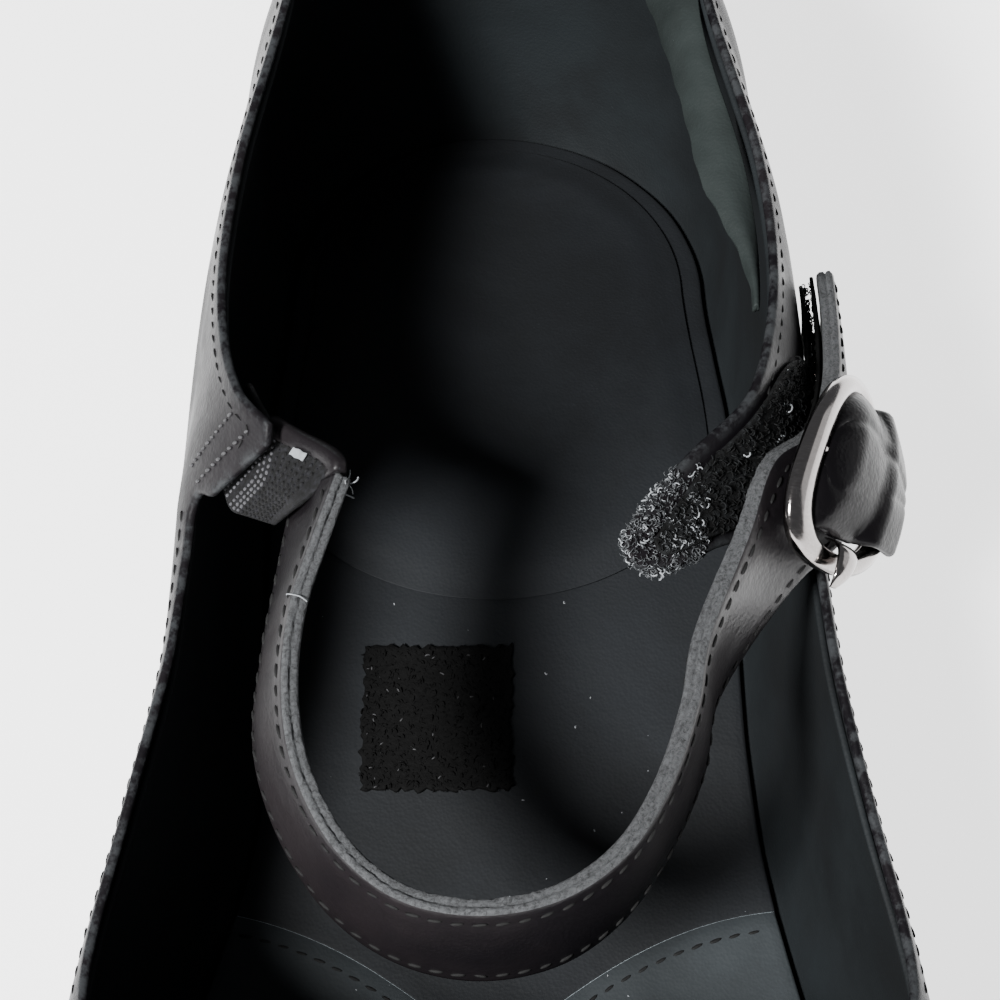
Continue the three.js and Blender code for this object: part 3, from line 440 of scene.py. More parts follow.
def signed_volume(points, faces):
    """Volume of a closed mesh, negative if its faces look inwards."""
    total = 0.0
    for face in faces:
        for k in range(1, len(face) - 1):
            total += np.dot(points[face[0]], np.cross(points[face[k]], points[face[k + 1]]))
    return total / 6


def make_piece(name, points, faces, looks, picks=None, values=None):
    """A mesh object with its place in its mesh. picks gives each face's material and values named numbers
    at the points that its materials read."""
    if signed_volume(points, faces) < 0:
        faces = turned_over(faces)
    data = bpy.data.meshes.new(name)
    data.from_pydata((np.asarray(points) * MM).tolist(), [], faces)
    for look in looks:
        data.materials.append(look)
    if picks is not None:
        data.polygons.foreach_set("material_index", np.asarray(picks, np.int32))
    data.polygons.foreach_set("use_smooth", np.ones(len(data.polygons), bool))
    for key, numbers in (values or {}).items():
        stored = data.attributes.new(key, "FLOAT", "POINT")
        stored.data.foreach_set("value", np.asarray(numbers, np.float32))
    data.validate()
    data.update()
    return added(name, data)


def added(name, data):
    """A new object in the scene."""
    made = bpy.data.objects.new(name, data)
    bpy.context.scene.collection.objects.link(made)
    return made


def settle(made, slot, *nodes):
    """Fixes a piece to the shoe and hides the solids that it stands for."""
    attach(made, "root")
    if nodes:
        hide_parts(*nodes)
    return made


# Materials

class Nodes:
    """A node tree under construction. Wherever a value goes in, another node's output can go in too."""

    def feed(self, socket, source):
        if isinstance(source, bpy.types.NodeSocket):
            self.tree.links.new(source, socket)
        else:
            socket.default_value = source

    def node(self, kind, links=None, **settings):
        made = self.tree.nodes.new(kind)
        for key, value in settings.items():
            setattr(made, key, value)
        for key, source in (links or {}).items():
            self.feed(made.inputs[key], source)
        return made

    def typed(self, made, sources):
        """Feeds the sockets in use of a node that has some for each type of value, and gives its output."""
        for key, source in sources.items():
            self.feed(next(s for s in made.inputs if s.name == key and s.enabled), source)
        return next(s for s in made.outputs if s.enabled)

    def maths(self, operation, a, b):
        return self.node("ShaderNodeMath", {0: a, 1: b}, operation=operation).outputs[0]


class Look(Nodes):
    """A material under construction, with short calls for the nodes that the finishes share."""

    def __init__(self, name, roughness, metallic=0.0, specular=0.5):
        self.material = bpy.data.materials.new(name)
        self.material.use_nodes = True
        self.tree = self.material.node_tree
        self.shader = self.tree.nodes["Principled BSDF"]
        self.shader.inputs["Roughness"].default_value = roughness
        self.shader.inputs["Metallic"].default_value = metallic
        self.shader.inputs["Specular IOR Level"].default_value = specular
        self.coords = self.tree.nodes.new("ShaderNodeTexCoord")
        self.height = None

    def stretched(self, scale, turn=(0, 0, 0)):
        """Object coordinates, stretched and turned."""
        links = {"Vector": self.coords.outputs["Object"], "Scale": scale, "Rotation": turn}
        return self.node("ShaderNodeMapping", links).outputs["Vector"]

    def noise(self, per_mm, detail=4.0, roughness=0.55, warp=0.0, where=None):
        """Cloudy noise with so many waves in a millimetre."""
        links = {
            "Vector": where or self.coords.outputs["Object"],
            "Scale": per_mm / MM,
            "Detail": detail,
            "Roughness": roughness,
            "Distortion": warp,
        }
        return self.node("ShaderNodeTexNoise", links).outputs["Fac"]

    def cells(self, per_mm):
        links = {"Vector": self.coords.outputs["Object"], "Scale": per_mm / MM}
        return self.node("ShaderNodeTexVoronoi", links).outputs["Distance"]

    def stored(self, key):
        """A number that the mesh stores at its points."""
        return self.node("ShaderNodeAttribute", attribute_name=key).outputs["Fac"]

    def between(self, value, low, high, start=0.0, stop=1.0):
        """A value brought from one range to another, with soft ends."""
        links = {"Value": value, "From Min": low, "From Max": high, "To Min": start, "To Max": stop}
        return self.node("ShaderNodeMapRange", links, interpolation_type="SMOOTHSTEP").outputs["Result"]

    def blend(self, share, low, high):
        """A colour between two colours."""
        mix = self.node("ShaderNodeMix", data_type="RGBA")
        return self.typed(mix, {"Factor": share, "A": low, "B": high})

    def colour(self, source):
        self.feed(self.shader.inputs["Base Color"], source)

    def rough(self, source):
        self.feed(self.shader.inputs["Roughness"], source)

    def bump(self, height, depth_mm, strength=1.0):
        """Adds relief of a depth to the surface, over the relief that is already there."""
        links = {"Height": height, "Distance": depth_mm * MM, "Strength": strength}
        if self.height is not None:
            links["Normal"] = self.height
        self.height = self.node("ShaderNodeBump", links).outputs["Normal"]
        self.tree.links.new(self.height, self.shader.inputs["Normal"])


def grey(red, green=None, blue=None):
    """A colour from its linear parts."""
    return (red, red if green is None else green, red if blue is None else blue, 1.0)


def leather_look(name, dark, light, worn=None, gloss=0.42, specular=0.12):
    """Satin leather: fine grain, faint tone changes, dull rubbed patches and, if worn names its colour,
    a paler rubbed top edge."""
    look = Look(name, gloss, specular=specular)
    tone = look.between(look.noise(0.035, 5), 0.35, 0.7)
    body = look.blend(tone, dark, light)
    grain = look.cells(1.9)
    fine = look.noise(2.6, 3)
    if worn:
        near = look.between(look.stored("edge_mm"), 1.5, -0.2)
        rubbed = look.maths("MULTIPLY", near, look.between(look.noise(0.45, 6, 0.7), 0.42, 0.62))
        body = look.blend(rubbed, body, worn)
    look.colour(body)
    look.rough(look.between(look.noise(0.06, 6, 0.6, 0.5), 0.3, 0.75, gloss - 0.08, gloss + 0.17))
    look.bump(grain, 0.045, 0.55)
    look.bump(fine, 0.035, 0.5)
    look.bump(look.noise(0.12, 3), 0.5, 0.35)
    return look.material


def lining_look(name, dark, light):
    """Smooth lining with a faint nap, worn tone changes and dust in its grain."""
    look = Look(name, 0.72, specular=0.3)
    tone = look.between(look.noise(0.03, 6, 0.6, 0.4), 0.32, 0.7)
    body = look.blend(tone, dark, light)
    dust = look.between(look.noise(1.6, 4, 0.75), 0.62, 0.8, 0, 0.35)
    look.colour(look.blend(dust, body, grey(0.03, 0.034, 0.037)))
    look.bump(look.cells(2.4), 0.05, 0.5)
    look.bump(look.noise(0.3, 4), 0.12, 0.5)
    return look.material


def raw_edge_look(name, dark, light):
    """A cut edge: pale, fibrous and rough."""
    look = Look(name, 0.9, specular=0.2)
    fibres = look.noise(2.6, 8, 0.8, 0.6)
    body = look.blend(look.between(fibres, 0.3, 0.6), dark, light)
    look.colour(body)
    look.bump(fibres, 0.35, 0.9)
    return look.material


def elastic_look():
    """Dull black thread with a few paler fibres."""
    look = Look("elastic", 0.85, specular=0.25)
    thread = look.noise(1.8, 6, 0.7)
    look.colour(look.blend(look.between(thread, 0.4, 0.75), grey(0.003), grey(0.013, 0.013, 0.016)))
    look.bump(thread, 0.08, 0.8)
    return look.material


def tape_look(name, dark, light):
    """Nylon of the hooks and the pile, with a faint shine."""
    look = Look(name, 0.8, specular=0.14)
    fuzz = look.noise(1.2, 6, 0.7)
    look.colour(look.blend(look.between(fuzz, 0.4, 0.72), dark, light))
    look.bump(fuzz, 0.2, 0.8)
    return look.material


def thread_look(name, colour):
    look = Look(name, 0.7, specular=0.15)
    twist = look.noise(3.0, 3)
    look.colour(look.blend(twist, grey(0.004), colour))
    look.bump(twist, 0.05, 0.6)
    return look.material


def lint_look():
    look = Look("lint", 0.95, specular=0.1)
    look.colour(look.blend(look.noise(0.8, 3), grey(0.08, 0.085, 0.09), grey(0.42, 0.44, 0.46)))
    return look.material


def silver_look():
    """Polished plating with fine scratches and a slightly rosy tone."""
    look = Look("polished_silver", 0.13, metallic=1.0)
    scratches = look.noise(0.9, 8, 0.8, 0, look.stretched((1, 6, 2), (0.4, 0.3, 0.6)))
    tone = look.between(scratches, 0.3, 0.8)
    look.colour(look.blend(tone, grey(0.25, 0.23, 0.222), grey(0.36, 0.34, 0.333)))
    look.rough(look.between(scratches, 0.35, 0.8, 0.09, 0.24))
    look.bump(scratches, 0.01, 0.35)
    return look.material


def rubber_look(name, dark, light):
    """Matt moulded rubber with cloudy scuffs and dust."""
    look = Look(name, 0.68, specular=0.35)
    tone = look.between(look.noise(0.09, 7, 0.65, 0.6), 0.35, 0.75)
    look.colour(look.blend(tone, dark, light))
    look.rough(look.between(look.noise(0.25, 5), 0.3, 0.7, 0.55, 0.8))
    look.bump(look.noise(1.4, 5, 0.7), 0.06, 0.6)
    return look.material


def fibre_look():
    """Pressed fibre board."""
    look = Look("fibre_board", 0.9, specular=0.2)
    fibres = look.noise(0.8, 8, 0.75, 0.4)
    look.colour(look.blend(fibres, grey(0.1, 0.075, 0.05), grey(0.24, 0.18, 0.13)))
    look.bump(fibres, 0.15, 0.7)
    return look.material


LEATHER = leather_look("black_leather", grey(0.0045, 0.004, 0.005), grey(0.0095, 0.008, 0.0092),
                       grey(0.03, 0.032, 0.034))
TRIM_LEATHER = leather_look("trim_leather", grey(0.0055, 0.005, 0.006), grey(0.012, 0.0098, 0.0108),
                            None, 0.38, 0.18)
COVER_LEATHER = leather_look("cover_leather", grey(0.0032, 0.0029, 0.0034), grey(0.0066, 0.0056, 0.0062),
                             None, 0.3, 0.09)
FORE_LINING = lining_look("forepart_lining", grey(0.011, 0.0135, 0.015), grey(0.026, 0.031, 0.034))
GRIP_LINING = lining_look("heel_grip_lining", grey(0.006, 0.009, 0.0085), grey(0.02, 0.026, 0.025))
LINING = lining_look("lining", grey(0.0028, 0.0038, 0.0046), grey(0.0075, 0.0102, 0.0118))
SOCK_LINING = lining_look("sock_lining", grey(0.0026, 0.0033, 0.0042), grey(0.0064, 0.0078, 0.0097))
RAW_EDGE = raw_edge_look("raw_edge", grey(0.012), grey(0.095, 0.098, 0.102))
CUT_EDGE = raw_edge_look("sock_cut_edge", grey(0.1, 0.12, 0.13), grey(0.3, 0.34, 0.36))
ELASTIC = elastic_look()
HOOKS = tape_look("hook_nylon", grey(0.0007), grey(0.0022))
PILE = tape_look("pile_nylon", grey(0.003), grey(0.014, 0.015, 0.016))
THREAD = thread_look("black_thread", grey(0.014))
# Pale thread: the worn rows that hold the gore, and also the painted glints on the hook patch
PALE_THREAD = thread_look("worn_thread_and_painted_glints", grey(0.11, 0.11, 0.115))
WORN_RIB = thread_look("worn_rib", grey(0.13, 0.13, 0.14))
LINT = lint_look()
PILE_FUZZ = tape_look("worn_pile", grey(0.03, 0.032, 0.034), grey(0.13, 0.135, 0.14))
SILVER = silver_look()
RUBBER = rubber_look("sole_rubber", grey(0.008), grey(0.02, 0.019, 0.018))
HEEL_RUBBER = rubber_look("heel_rubber", grey(0.009), grey(0.024, 0.022, 0.02))
FIBRE = fibre_look()


# Growth trees: what repeats along a path or over a surface

class Growth(Nodes):
    """A tree of geometry nodes under construction, with named inputs for its sizes."""

    def __init__(self, name, **inputs):
        self.tree = bpy.data.node_groups.new(name, "GeometryNodeTree")
        face = self.tree.interface
        face.new_socket("Geometry", in_out="INPUT", socket_type="NodeSocketGeometry")
        for key, value in inputs.items():
            kind = "NodeSocketInt" if isinstance(value, int) else "NodeSocketFloat"
            face.new_socket(key, in_out="INPUT", socket_type=kind).default_value = value
        face.new_socket("Material", in_out="INPUT", socket_type="NodeSocketMaterial")
        face.new_socket("Geometry", in_out="OUTPUT", socket_type="NodeSocketGeometry")
        self.start = self.tree.nodes.new("NodeGroupInput")
        self.stop = self.tree.nodes.new("NodeGroupOutput")
        self.base = self.start.outputs["Geometry"]

    def size(self, key):
        return self.start.outputs[key]

    def vector(self, x, y, z):
        return self.node("ShaderNodeCombineXYZ", {"X": x, "Y": y, "Z": z}).outputs[0]

    def random(self, low, high, salt):
        """A random number for each copy, from the tree's own seed."""
        seed = self.maths("ADD", self.size("Seed"), salt)
        made = self.node("FunctionNodeRandomValue", {"Seed": seed}, data_type="FLOAT")
        return self.typed(made, {"Min": low, "Max": high})

    def swing(self, key, salt):
        """A random angle for each copy, up to a named size either way."""
        return self.random(self.maths("MULTIPLY", self.size(key), -1.0), self.size(key), salt)

    def turned(self, rotation, x, y, z):
        """A rotation turned on about its own axes."""
        own = self.node("FunctionNodeEulerToRotation", {"Euler": self.vector(x, y, z)}).outputs[0]
        links = {"Rotation": rotation, "Rotate By": own}
        return self.node("FunctionNodeRotateRotation", links, rotation_space="LOCAL").outputs[0]

    def copies(self, points, shape, rotation, scale):
        links = {"Points": points, "Instance": shape, "Rotation": rotation, "Scale": scale}
        made = self.node("GeometryNodeInstanceOnPoints", links).outputs[0]
        return self.node("GeometryNodeRealizeInstances", {"Geometry": made}).outputs[0]

    def spaced(self, step):
        """The base's paths as curves with points at even distances."""
        path = self.node("GeometryNodeMeshToCurve", {"Mesh": self.base}).outputs[0]
        links = {"Curve": path, "Length": self.size(step)}
        return self.node("GeometryNodeResampleCurve", links, mode="LENGTH").outputs[0]

    def end(self, geometry):
        """Finishes the tree with smooth faces and the material."""
        shaded = self.node("GeometryNodeSetShadeSmooth", {"Geometry": geometry}).outputs[0]
        links = {"Geometry": shaded, "Material": self.size("Material")}
        final = self.node("GeometryNodeSetMaterial", links).outputs[0]
        self.tree.links.new(final, self.stop.inputs["Geometry"])
        return self


def stitch_growth():
    """Stitches or beads in a row along paths. Each is a small lens lying along the path."""
    tree = Growth("stitches_on_path", Pitch=2.3, Length=1.7, Width=0.5, Height=0.4, Tilt=0.0,
                  Jitter=0.05, Seed=1)
    tangent = tree.node("GeometryNodeInputTangent").outputs[0]
    facing = tree.node("FunctionNodeAlignRotationToVector", {"Vector": tangent}, axis="X").outputs[0]
    aside = tree.maths("ADD", tree.swing("Jitter", 1), tree.size("Tilt"))
    rotation = tree.turned(facing, tree.swing("Jitter", 2), 0.0, aside)
    ball = tree.node("GeometryNodeMeshUVSphere", {"Segments": 8, "Rings": 5, "Radius": 0.5}).outputs[0]
    scale = tree.vector(tree.size("Length"), tree.size("Width"), tree.size("Height"))
    shape = tree.node("GeometryNodeTransform", {"Geometry": ball, "Scale": scale}).outputs[0]
    return tree.end(tree.copies(tree.spaced("Pitch"), shape, rotation, tree.random(0.85, 1.1, 3)))


def tuft_growth():
    """Hooks, loops or loose fibres on a surface. Each is a bent thread that stands on its root."""
    tree = Growth("tufts_on_surface", Density=1.0, Radius=0.4, Bend=3.8, Thickness=0.07, Lean=0.3,
                  Uneven=0.3, Seed=1)
    links = {"Mesh": tree.base, "Density": tree.size("Density"), "Seed": tree.size("Seed")}
    spread = tree.node("GeometryNodeDistributePointsOnFaces", links)
    spin = tree.turned(spread.outputs["Rotation"], 0.0, 0.0, tree.random(0.0, 2 * math.pi, 1))
    rotation = tree.turned(spin, tree.swing("Lean", 2), tree.swing("Lean", 3), 0.0)
    arc = tree.node("GeometryNodeCurveArc", {
        "Resolution": 7,
        "Radius": tree.size("Radius"),
        "Start Angle": math.pi,
        "Sweep Angle": tree.maths("MULTIPLY", tree.size("Bend"), -1.0),
    }).outputs[0]
    stem = tree.vector(tree.size("Radius"), 0.0, 0.0)
    links = {"Geometry": arc, "Translation": stem, "Rotation": (math.pi / 2, 0, 0)}
    upright = tree.node("GeometryNodeTransform", links).outputs[0]
    ring = tree.node("GeometryNodeCurvePrimitiveCircle", {"Resolution": 4, "Radius": tree.size("Thickness")})
    links = {"Curve": upright, "Profile Curve": ring.outputs[0], "Fill Caps": True}
    thread = tree.node("GeometryNodeCurveToMesh", links).outputs[0]
    shortest = tree.maths("SUBTRACT", 1.0, tree.size("Uneven"))
    longest = tree.maths("ADD", 1.0, tree.size("Uneven"))
    scale = tree.random(shortest, longest, 4)
    return tree.end(tree.copies(spread.outputs["Points"], thread, rotation, scale))


def ridge_growth():
    """Round ridges or cords swept along paths."""
    tree = Growth("ridges_on_path", Radius=0.4, Step=0.8, Seed=1)
    ring = tree.node("GeometryNodeCurvePrimitiveCircle", {"Resolution": 8, "Radius": tree.size("Radius")})
    links = {"Curve": tree.spaced("Step"), "Profile Curve": ring.outputs[0], "Fill Caps": True}
    return tree.end(tree.node("GeometryNodeCurveToMesh", links).outputs[0])


STITCHES = stitch_growth()
TUFTS = tuft_growth()
RIDGES = ridge_growth()
IN_MM = ("Pitch", "Length", "Width", "Height", "Radius", "Thickness", "Step")


def grown(name, points, faces, growth, look, edges=(), slot="leather", **sizes):
    """A plain piece from what a tree grows on a base mesh. Lengths are in millimetres, densities per
    square millimetre and angles in radians."""
    base = bpy.data.meshes.new(name)
    base.from_pydata((np.asarray(points) * MM).tolist(), list(edges), list(faces))
    carrier = added(name + "_base", base)
    modifier = carrier.modifiers.new("growth", "NODES")
    modifier.node_group = growth.tree
    sockets = {s.name: s.identifier for s in growth.tree.interface.items_tree if s.in_out == "INPUT"}
    modifier[sockets["Material"]] = look
    for key, value in sizes.items():
        if key in IN_MM:
            value = value * MM
        if key == "Density":
            value = value / MM**2
        modifier[sockets[key]] = value
    bpy.context.view_layer.update()
    evaluated = carrier.evaluated_get(bpy.context.evaluated_depsgraph_get())
    data = bpy.data.meshes.new_from_object(evaluated)
    data.name = name
    bpy.data.objects.remove(carrier)
    return settle(added(name, data), slot)


def grown_along(name, paths, growth, look, slot="leather", **sizes):
    """What a tree grows along several open paths."""
    points, edges = chain(paths)
    return grown(name, points, [], growth, look, edges, slot, **sizes)


def chain(paths):
    """Points and edges of several open paths."""
    points = np.vstack(paths)
    edges = []
    first = 0
    for path in paths:
        edges += [(first + k, first + k + 1) for k in range(len(path) - 1)]
        first += len(path)
    return points, edges


# The upper

SKIN_ROWS = 92


def fine_skin():
    """The last's whole skin as fine points with normals, sides and triangles."""
    outer = columns_round(CELL, side=1)
    inner = columns_round(CELL, side=-1)[::-1][1:-1]
    every = np.vstack([outer, inner])
    side, centre, turn, heel = (every[:, k, None] for k in range(4))
    shares = np.linspace(0, 1, SKIN_ROWS)[None, :]
    points = last_point(side, centre, turn, heel > 0, shares).reshape(-1, 3)
    sides = np.repeat(every[:, 0], SKIN_ROWS)
    here = np.arange(len(every))[:, None] * SKIN_ROWS
    beside = np.roll(here, -1, 0)
    j = np.arange(SKIN_ROWS - 1)[None, :]
    a, b, c, d = (v.ravel() for v in (here + j, beside + j, beside + j + 1, here + j + 1))
    triangles = np.vstack([np.stack([a, c, b], 1), np.stack([a, d, c], 1)])
    _, first, same = np.unique(np.round(points, 3), axis=0, return_index=True, return_inverse=True)
    triangles = first[same.ravel()][triangles]
    good = (triangles[:, 0] != triangles[:, 1]) & (triangles[:, 1] != triangles[:, 2])
    triangles = triangles[good & (triangles[:, 2] != triangles[:, 0])]
    normals = np.zeros(points.shape)
    p, q, r = (points[triangles[:, k]] for k in range(3))
    face = np.cross(q - p, r - p)
    for k in range(3):
        np.add.at(normals, triangles[:, k], face)
    return points, unit(normals), sides, triangles


SKIN_POINTS, SKIN_NORMALS, SKIN_SIDES, SKIN_TRIANGLES = fine_skin()


def skin_depth(outlines):
    """Depth of each point of the skin inside the outline of its side."""
    depth = np.full(len(SKIN_POINTS), -1.0)
    for side, outline in outlines.items():
        here = SKIN_SIDES == side
        depth[here] = depth_inside(outline, LENGTH / 2 - SKIN_POINTS[here, 1], SKIN_POINTS[here, 2])
    return depth


TOP_LINE_DEPTH = skin_depth(TOP_LINES)


# Share of an edge of the skin within which its point moves onto the cut
NEAR_CUT = 0.32


def cut_skin(depth):
    """The skin where depth is positive: points, normals, depths and triangles, cut where depth is zero.
    Points close to the cut move onto it, so that no thin triangles are left."""
    points = SKIN_POINTS.copy()
    normals = SKIN_NORMALS.copy()
    depth = depth.copy()
    edges = np.vstack([SKIN_TRIANGLES[:, [0, 1]], SKIN_TRIANGLES[:, [1, 2]], SKIN_TRIANGLES[:, [2, 0]]])
    edges = np.vstack([edges, edges[:, ::-1]])
    a, b = edges[:, 0], edges[:, 1]
    crossing = (depth[a] > 0) != (depth[b] > 0)
    a, b = a[crossing], b[crossing]
    share = depth[a] / (depth[a] - depth[b])
    order = np.argsort(share)
    order = order[share[order] < NEAR_CUT]
    state = np.where(depth > 0, 1, -1)
    for k in order:
        p, q = a[k], b[k]
        if state[p] == 0:
            continue
        state[p] = 0
        points[p] = SKIN_POINTS[p] + (SKIN_POINTS[q] - SKIN_POINTS[p]) * share[k]
        depth[p] = 0
    extra = []
    known = {}

    def cross_at(p, q):
        low, high = min(p, q), max(p, q)
        if (low, high) not in known:
            t = depth[low] / (depth[low] - depth[high])
            known[(low, high)] = len(points) + len(extra)
            extra.append((
                points[low] + (points[high] - points[low]) * t,
                unit(normals[low] + (normals[high] - normals[low]) * t),
            ))
        return known[(low, high)]

    states = state[SKIN_TRIANGLES]
    whole = (states >= 0).all(1) & (states > 0).any(1)
    kept = SKIN_TRIANGLES[whole].tolist()
    for tri in SKIN_TRIANGLES[(states < 0).any(1) & (states > 0).any(1)].tolist():
        ring = []
        for k in range(3):
            p, q = tri[k], tri[(k + 1) % 3]
            if state[p] >= 0:
                ring.append(p)
            if state[p] * state[q] < 0:
                ring.append(cross_at(p, q))
        kept.extend((ring[0], ring[k], ring[k + 1]) for k in range(1, len(ring) - 1))
    points = np.vstack([points, [e[0] for e in extra]])
    normals = np.vstack([normals, [e[1] for e in extra]])
    depth = np.append(depth, np.zeros(len(extra)))
    used = np.unique(np.array(kept))
    number = np.zeros(len(points), int)
    number[used] = np.arange(len(used))
    faces = [tuple(f) for f in number[np.array(kept)].tolist()]
    return points[used], normals[used], depth[used], faces


# Creases and hollows of the worn leather, each along a line on the skin. Places are millimetres across
# from the middle, from the heel's back, and up; depth is negative for a ridge.
CREASES = table("x0 s0 z0 x1 s1 z1 width depth", [
    (-44, 166, 22, -20, 171, 40, 3.2, 0.7),
    (-20, 171, 40, 14, 172, 43, 3.0, 0.55),
    (14, 172, 43, 44, 164, 24, 3.2, 0.75),
    (-42, 175, 18, -12, 180, 37, 2.6, 0.5),
    (-12, 180, 37, 24, 179, 38, 2.4, 0.4),
    (24, 179, 38, 46, 172, 16, 2.8, 0.55),
    (-44, 171, 20, -16, 176, 39, 2.6, -0.35),
    (10, 177, 41, 45, 168, 20, 2.6, -0.35),
    (-40, 150, 20, -36, 157, 44, 3.5, 0.6),
    (42, 148, 20, 38, 156, 44, 3.5, 0.6),
    (-35, 70, 66, -36, 96, 52, 5.0, 0.55),
    (-36, 88, 40, -37, 112, 30, 6.0, 0.5),
    (36, 62, 60, 37, 84, 44, 5.0, 0.5),
    (-30, 14, 60, -34, 30, 40, 6.0, 0.4),
    (30, 14, 58, 34, 32, 38, 6.0, 0.4),
    (-8, 1, 52, 10, 1, 48, 4.0, 0.35),
])


def worn_relief(points):
    """How far the leather lies inside its clean shape at each point."""
    where = points.copy()
    where[:, 1] = LENGTH / 2 - points[:, 1]
    total = np.zeros(len(points))
    for k in range(len(CREASES["x0"])):
        start = np.array([CREASES[key][k] for key in ("x0", "s0", "z0")])
        stop = np.array([CREASES[key][k] for key in ("x1", "s1", "z1")])
        line = stop - start
        share = np.clip((where - start) @ line / (line @ line), 0, 1)
        away = np.linalg.norm(where - start - share[:, None] * line, axis=1)
        ends = 0.25 + 0.75 * np.sin(math.pi * np.clip(share, 0.02, 0.98))
        total += CREASES["depth"][k] * ends * np.exp(-((away / CREASES["width"][k]) ** 2))
    return total


def upper_layer(outlines, inset, high, low, roundness):
    """A layer of the upper between two offsets of the skin, set in from its outline."""
    points, normals, depth, faces = cut_skin(skin_depth(outlines) - inset)
    sunk = worn_relief(points) * smooth(0, 6, depth)
    s = LENGTH / 2 - points[:, 1]
    on_sole = np.abs(points[:, 2] - feather(s)) < 1e-2
    level = unit(np.stack([normals[:, 0], normals[:, 1], np.zeros(len(points))], 1))
    way = np.where(on_sole[:, None], level, normals)
    outer = points + way * (high - sunk)[:, None]
    inner = points + way * (low - sunk)[:, None]
    made, built, layer = close_shell(outer, inner, faces, roundness, on_sole)
    edge = np.concatenate([depth + inset, depth + inset, np.zeros(len(made) - 2 * len(depth))])
    return made, built, layer, edge


def skin_line(outline_depth, depth, keep):
    """Points and edges of the line on the leather at a depth inside an outline, where keep allows it."""
    value = outline_depth - depth
    above = value > 0
    mixed = above[SKIN_TRIANGLES].any(1) & ~above[SKIN_TRIANGLES].all(1)
    known = {}
    points = []
    edges = []
    for tri in SKIN_TRIANGLES[mixed].tolist():
        ends = []
        for k in range(3):
            p, q = sorted((tri[k], tri[(k + 1) % 3]))
            if above[p] == above[q]:
                continue
            if (p, q) not in known:
                t = value[p] / (value[p] - value[q])
                known[(p, q)] = len(points)
                normal = unit(SKIN_NORMALS[p] + (SKIN_NORMALS[q] - SKIN_NORMALS[p]) * t)
                spot = SKIN_POINTS[p] + (SKIN_POINTS[q] - SKIN_POINTS[p]) * t
                points.append(np.append(spot, normal))
            ends.append(known[(p, q)])
        edges.append(tuple(ends))
    points = np.array(points)
    for _ in range(4):
        total = points.copy()
        count = np.ones(len(points))
        for p, q in edges:
            total[p] += points[q]
            total[q] += points[p]
            count[p] += 1
            count[q] += 1
        points = total / count[:, None]
    spots = points[:, :3]
    sunk = worn_relief(spots) * smooth(0, 6, depth)
    spots = spots - unit(points[:, 3:]) * sunk[:, None]
    good = keep(spots)
    edges = [(p, q) for p, q in edges if good[p] and good[q]]
    used = sorted({p for edge in edges for p in edge})
    number = {p: k for k, p in enumerate(used)}
    return spots[used], [(number[p], number[q]) for p, q in edges]


def topline_stitches():
    """The row along the topline, apart from the outer ear's worn front."""
    def off_ear_front(points):
        s = LENGTH / 2 - points[:, 1]
        return (points[:, 0] > 0) | (s < 92) | (s > 106) | (points[:, 2] > 68.6) | (points[:, 2] < 57)

    points, edges = skin_line(TOP_LINE_DEPTH, 2.1, off_ear_front)
    grown("topline_stitches", points, [], STITCHES, THREAD, edges, Pitch=2.1, Length=1.5, Width=0.34,
          Height=0.26, Tilt=0.12, Jitter=0.08, Seed=11)


# Rows that hold the gore behind the inner ear: distances from the heel's back and heights of their ends
EAR_SEAMS = [((99.7, 70.6), (99.0, 61.6)), ((96.9, 70.2), (96.2, 61.0))]


def ear_stitches():
    """The two worn rows that hold the gore."""
    paths = []
    for start, stop in EAR_SEAMS:
        t = np.linspace(0, 1, 30)
        s = start[0] + (stop[0] - start[0]) * t
        z = start[1] + (stop[1] - start[1]) * t
        paths.append(side_point(-1, s, z, 0.05))
    grown_along("ear_stitches", paths, STITCHES, PALE_THREAD, Pitch=1.15, Length=0.95, Width=0.42,
                Height=0.35, Tilt=0.35, Jitter=0.25, Seed=21)


def upper_leather():
    """The outer leather, which turns over the topline."""
    points, faces, layer, edge = upper_layer(TOP_LINES, 0.55, 0.0, -1.15, 0.95)
    made = make_piece("upper_leather", points, faces, [LEATHER, LINING],
                      [1 if k == 2 else 0 for k in layer], {"edge_mm": edge})
    return settle(made, "leather", "upper")


def upper_lining():
    """The lining inside the leather, cut back from the topline."""
    points, faces, _, _ = upper_layer(TOP_LINES, 2.6, -1.2, -2.0, 0.6)
    return settle(make_piece("upper_lining", points, faces, [LINING]), "lining")


# The sole and the heel

def foot_line(side, height, out, fineness=1.4, to=1.0):
    """The foot's outline on one side at a height above the feather line, moved out level."""
    cols = columns_round(fineness, to, side)
    bulge = upwards("bulge", cols[:, 1])
    t = BULGE_AT * np.arccos(1 - height / bulge) / (math.pi / 2)
    base = last_point(cols[:, 0], cols[:, 1], cols[:, 2], cols[:, 3] > 0, t)
    along = np.gradient(base, axis=0)
    along[0] = (side, 0, 0)
    if to == 1.0:
        along[-1] = (-side, 0, 0)
    normal = unit(np.stack([-along[:, 1] * side, along[:, 0] * side, np.zeros(len(base))], 1))
    return base + normal * out


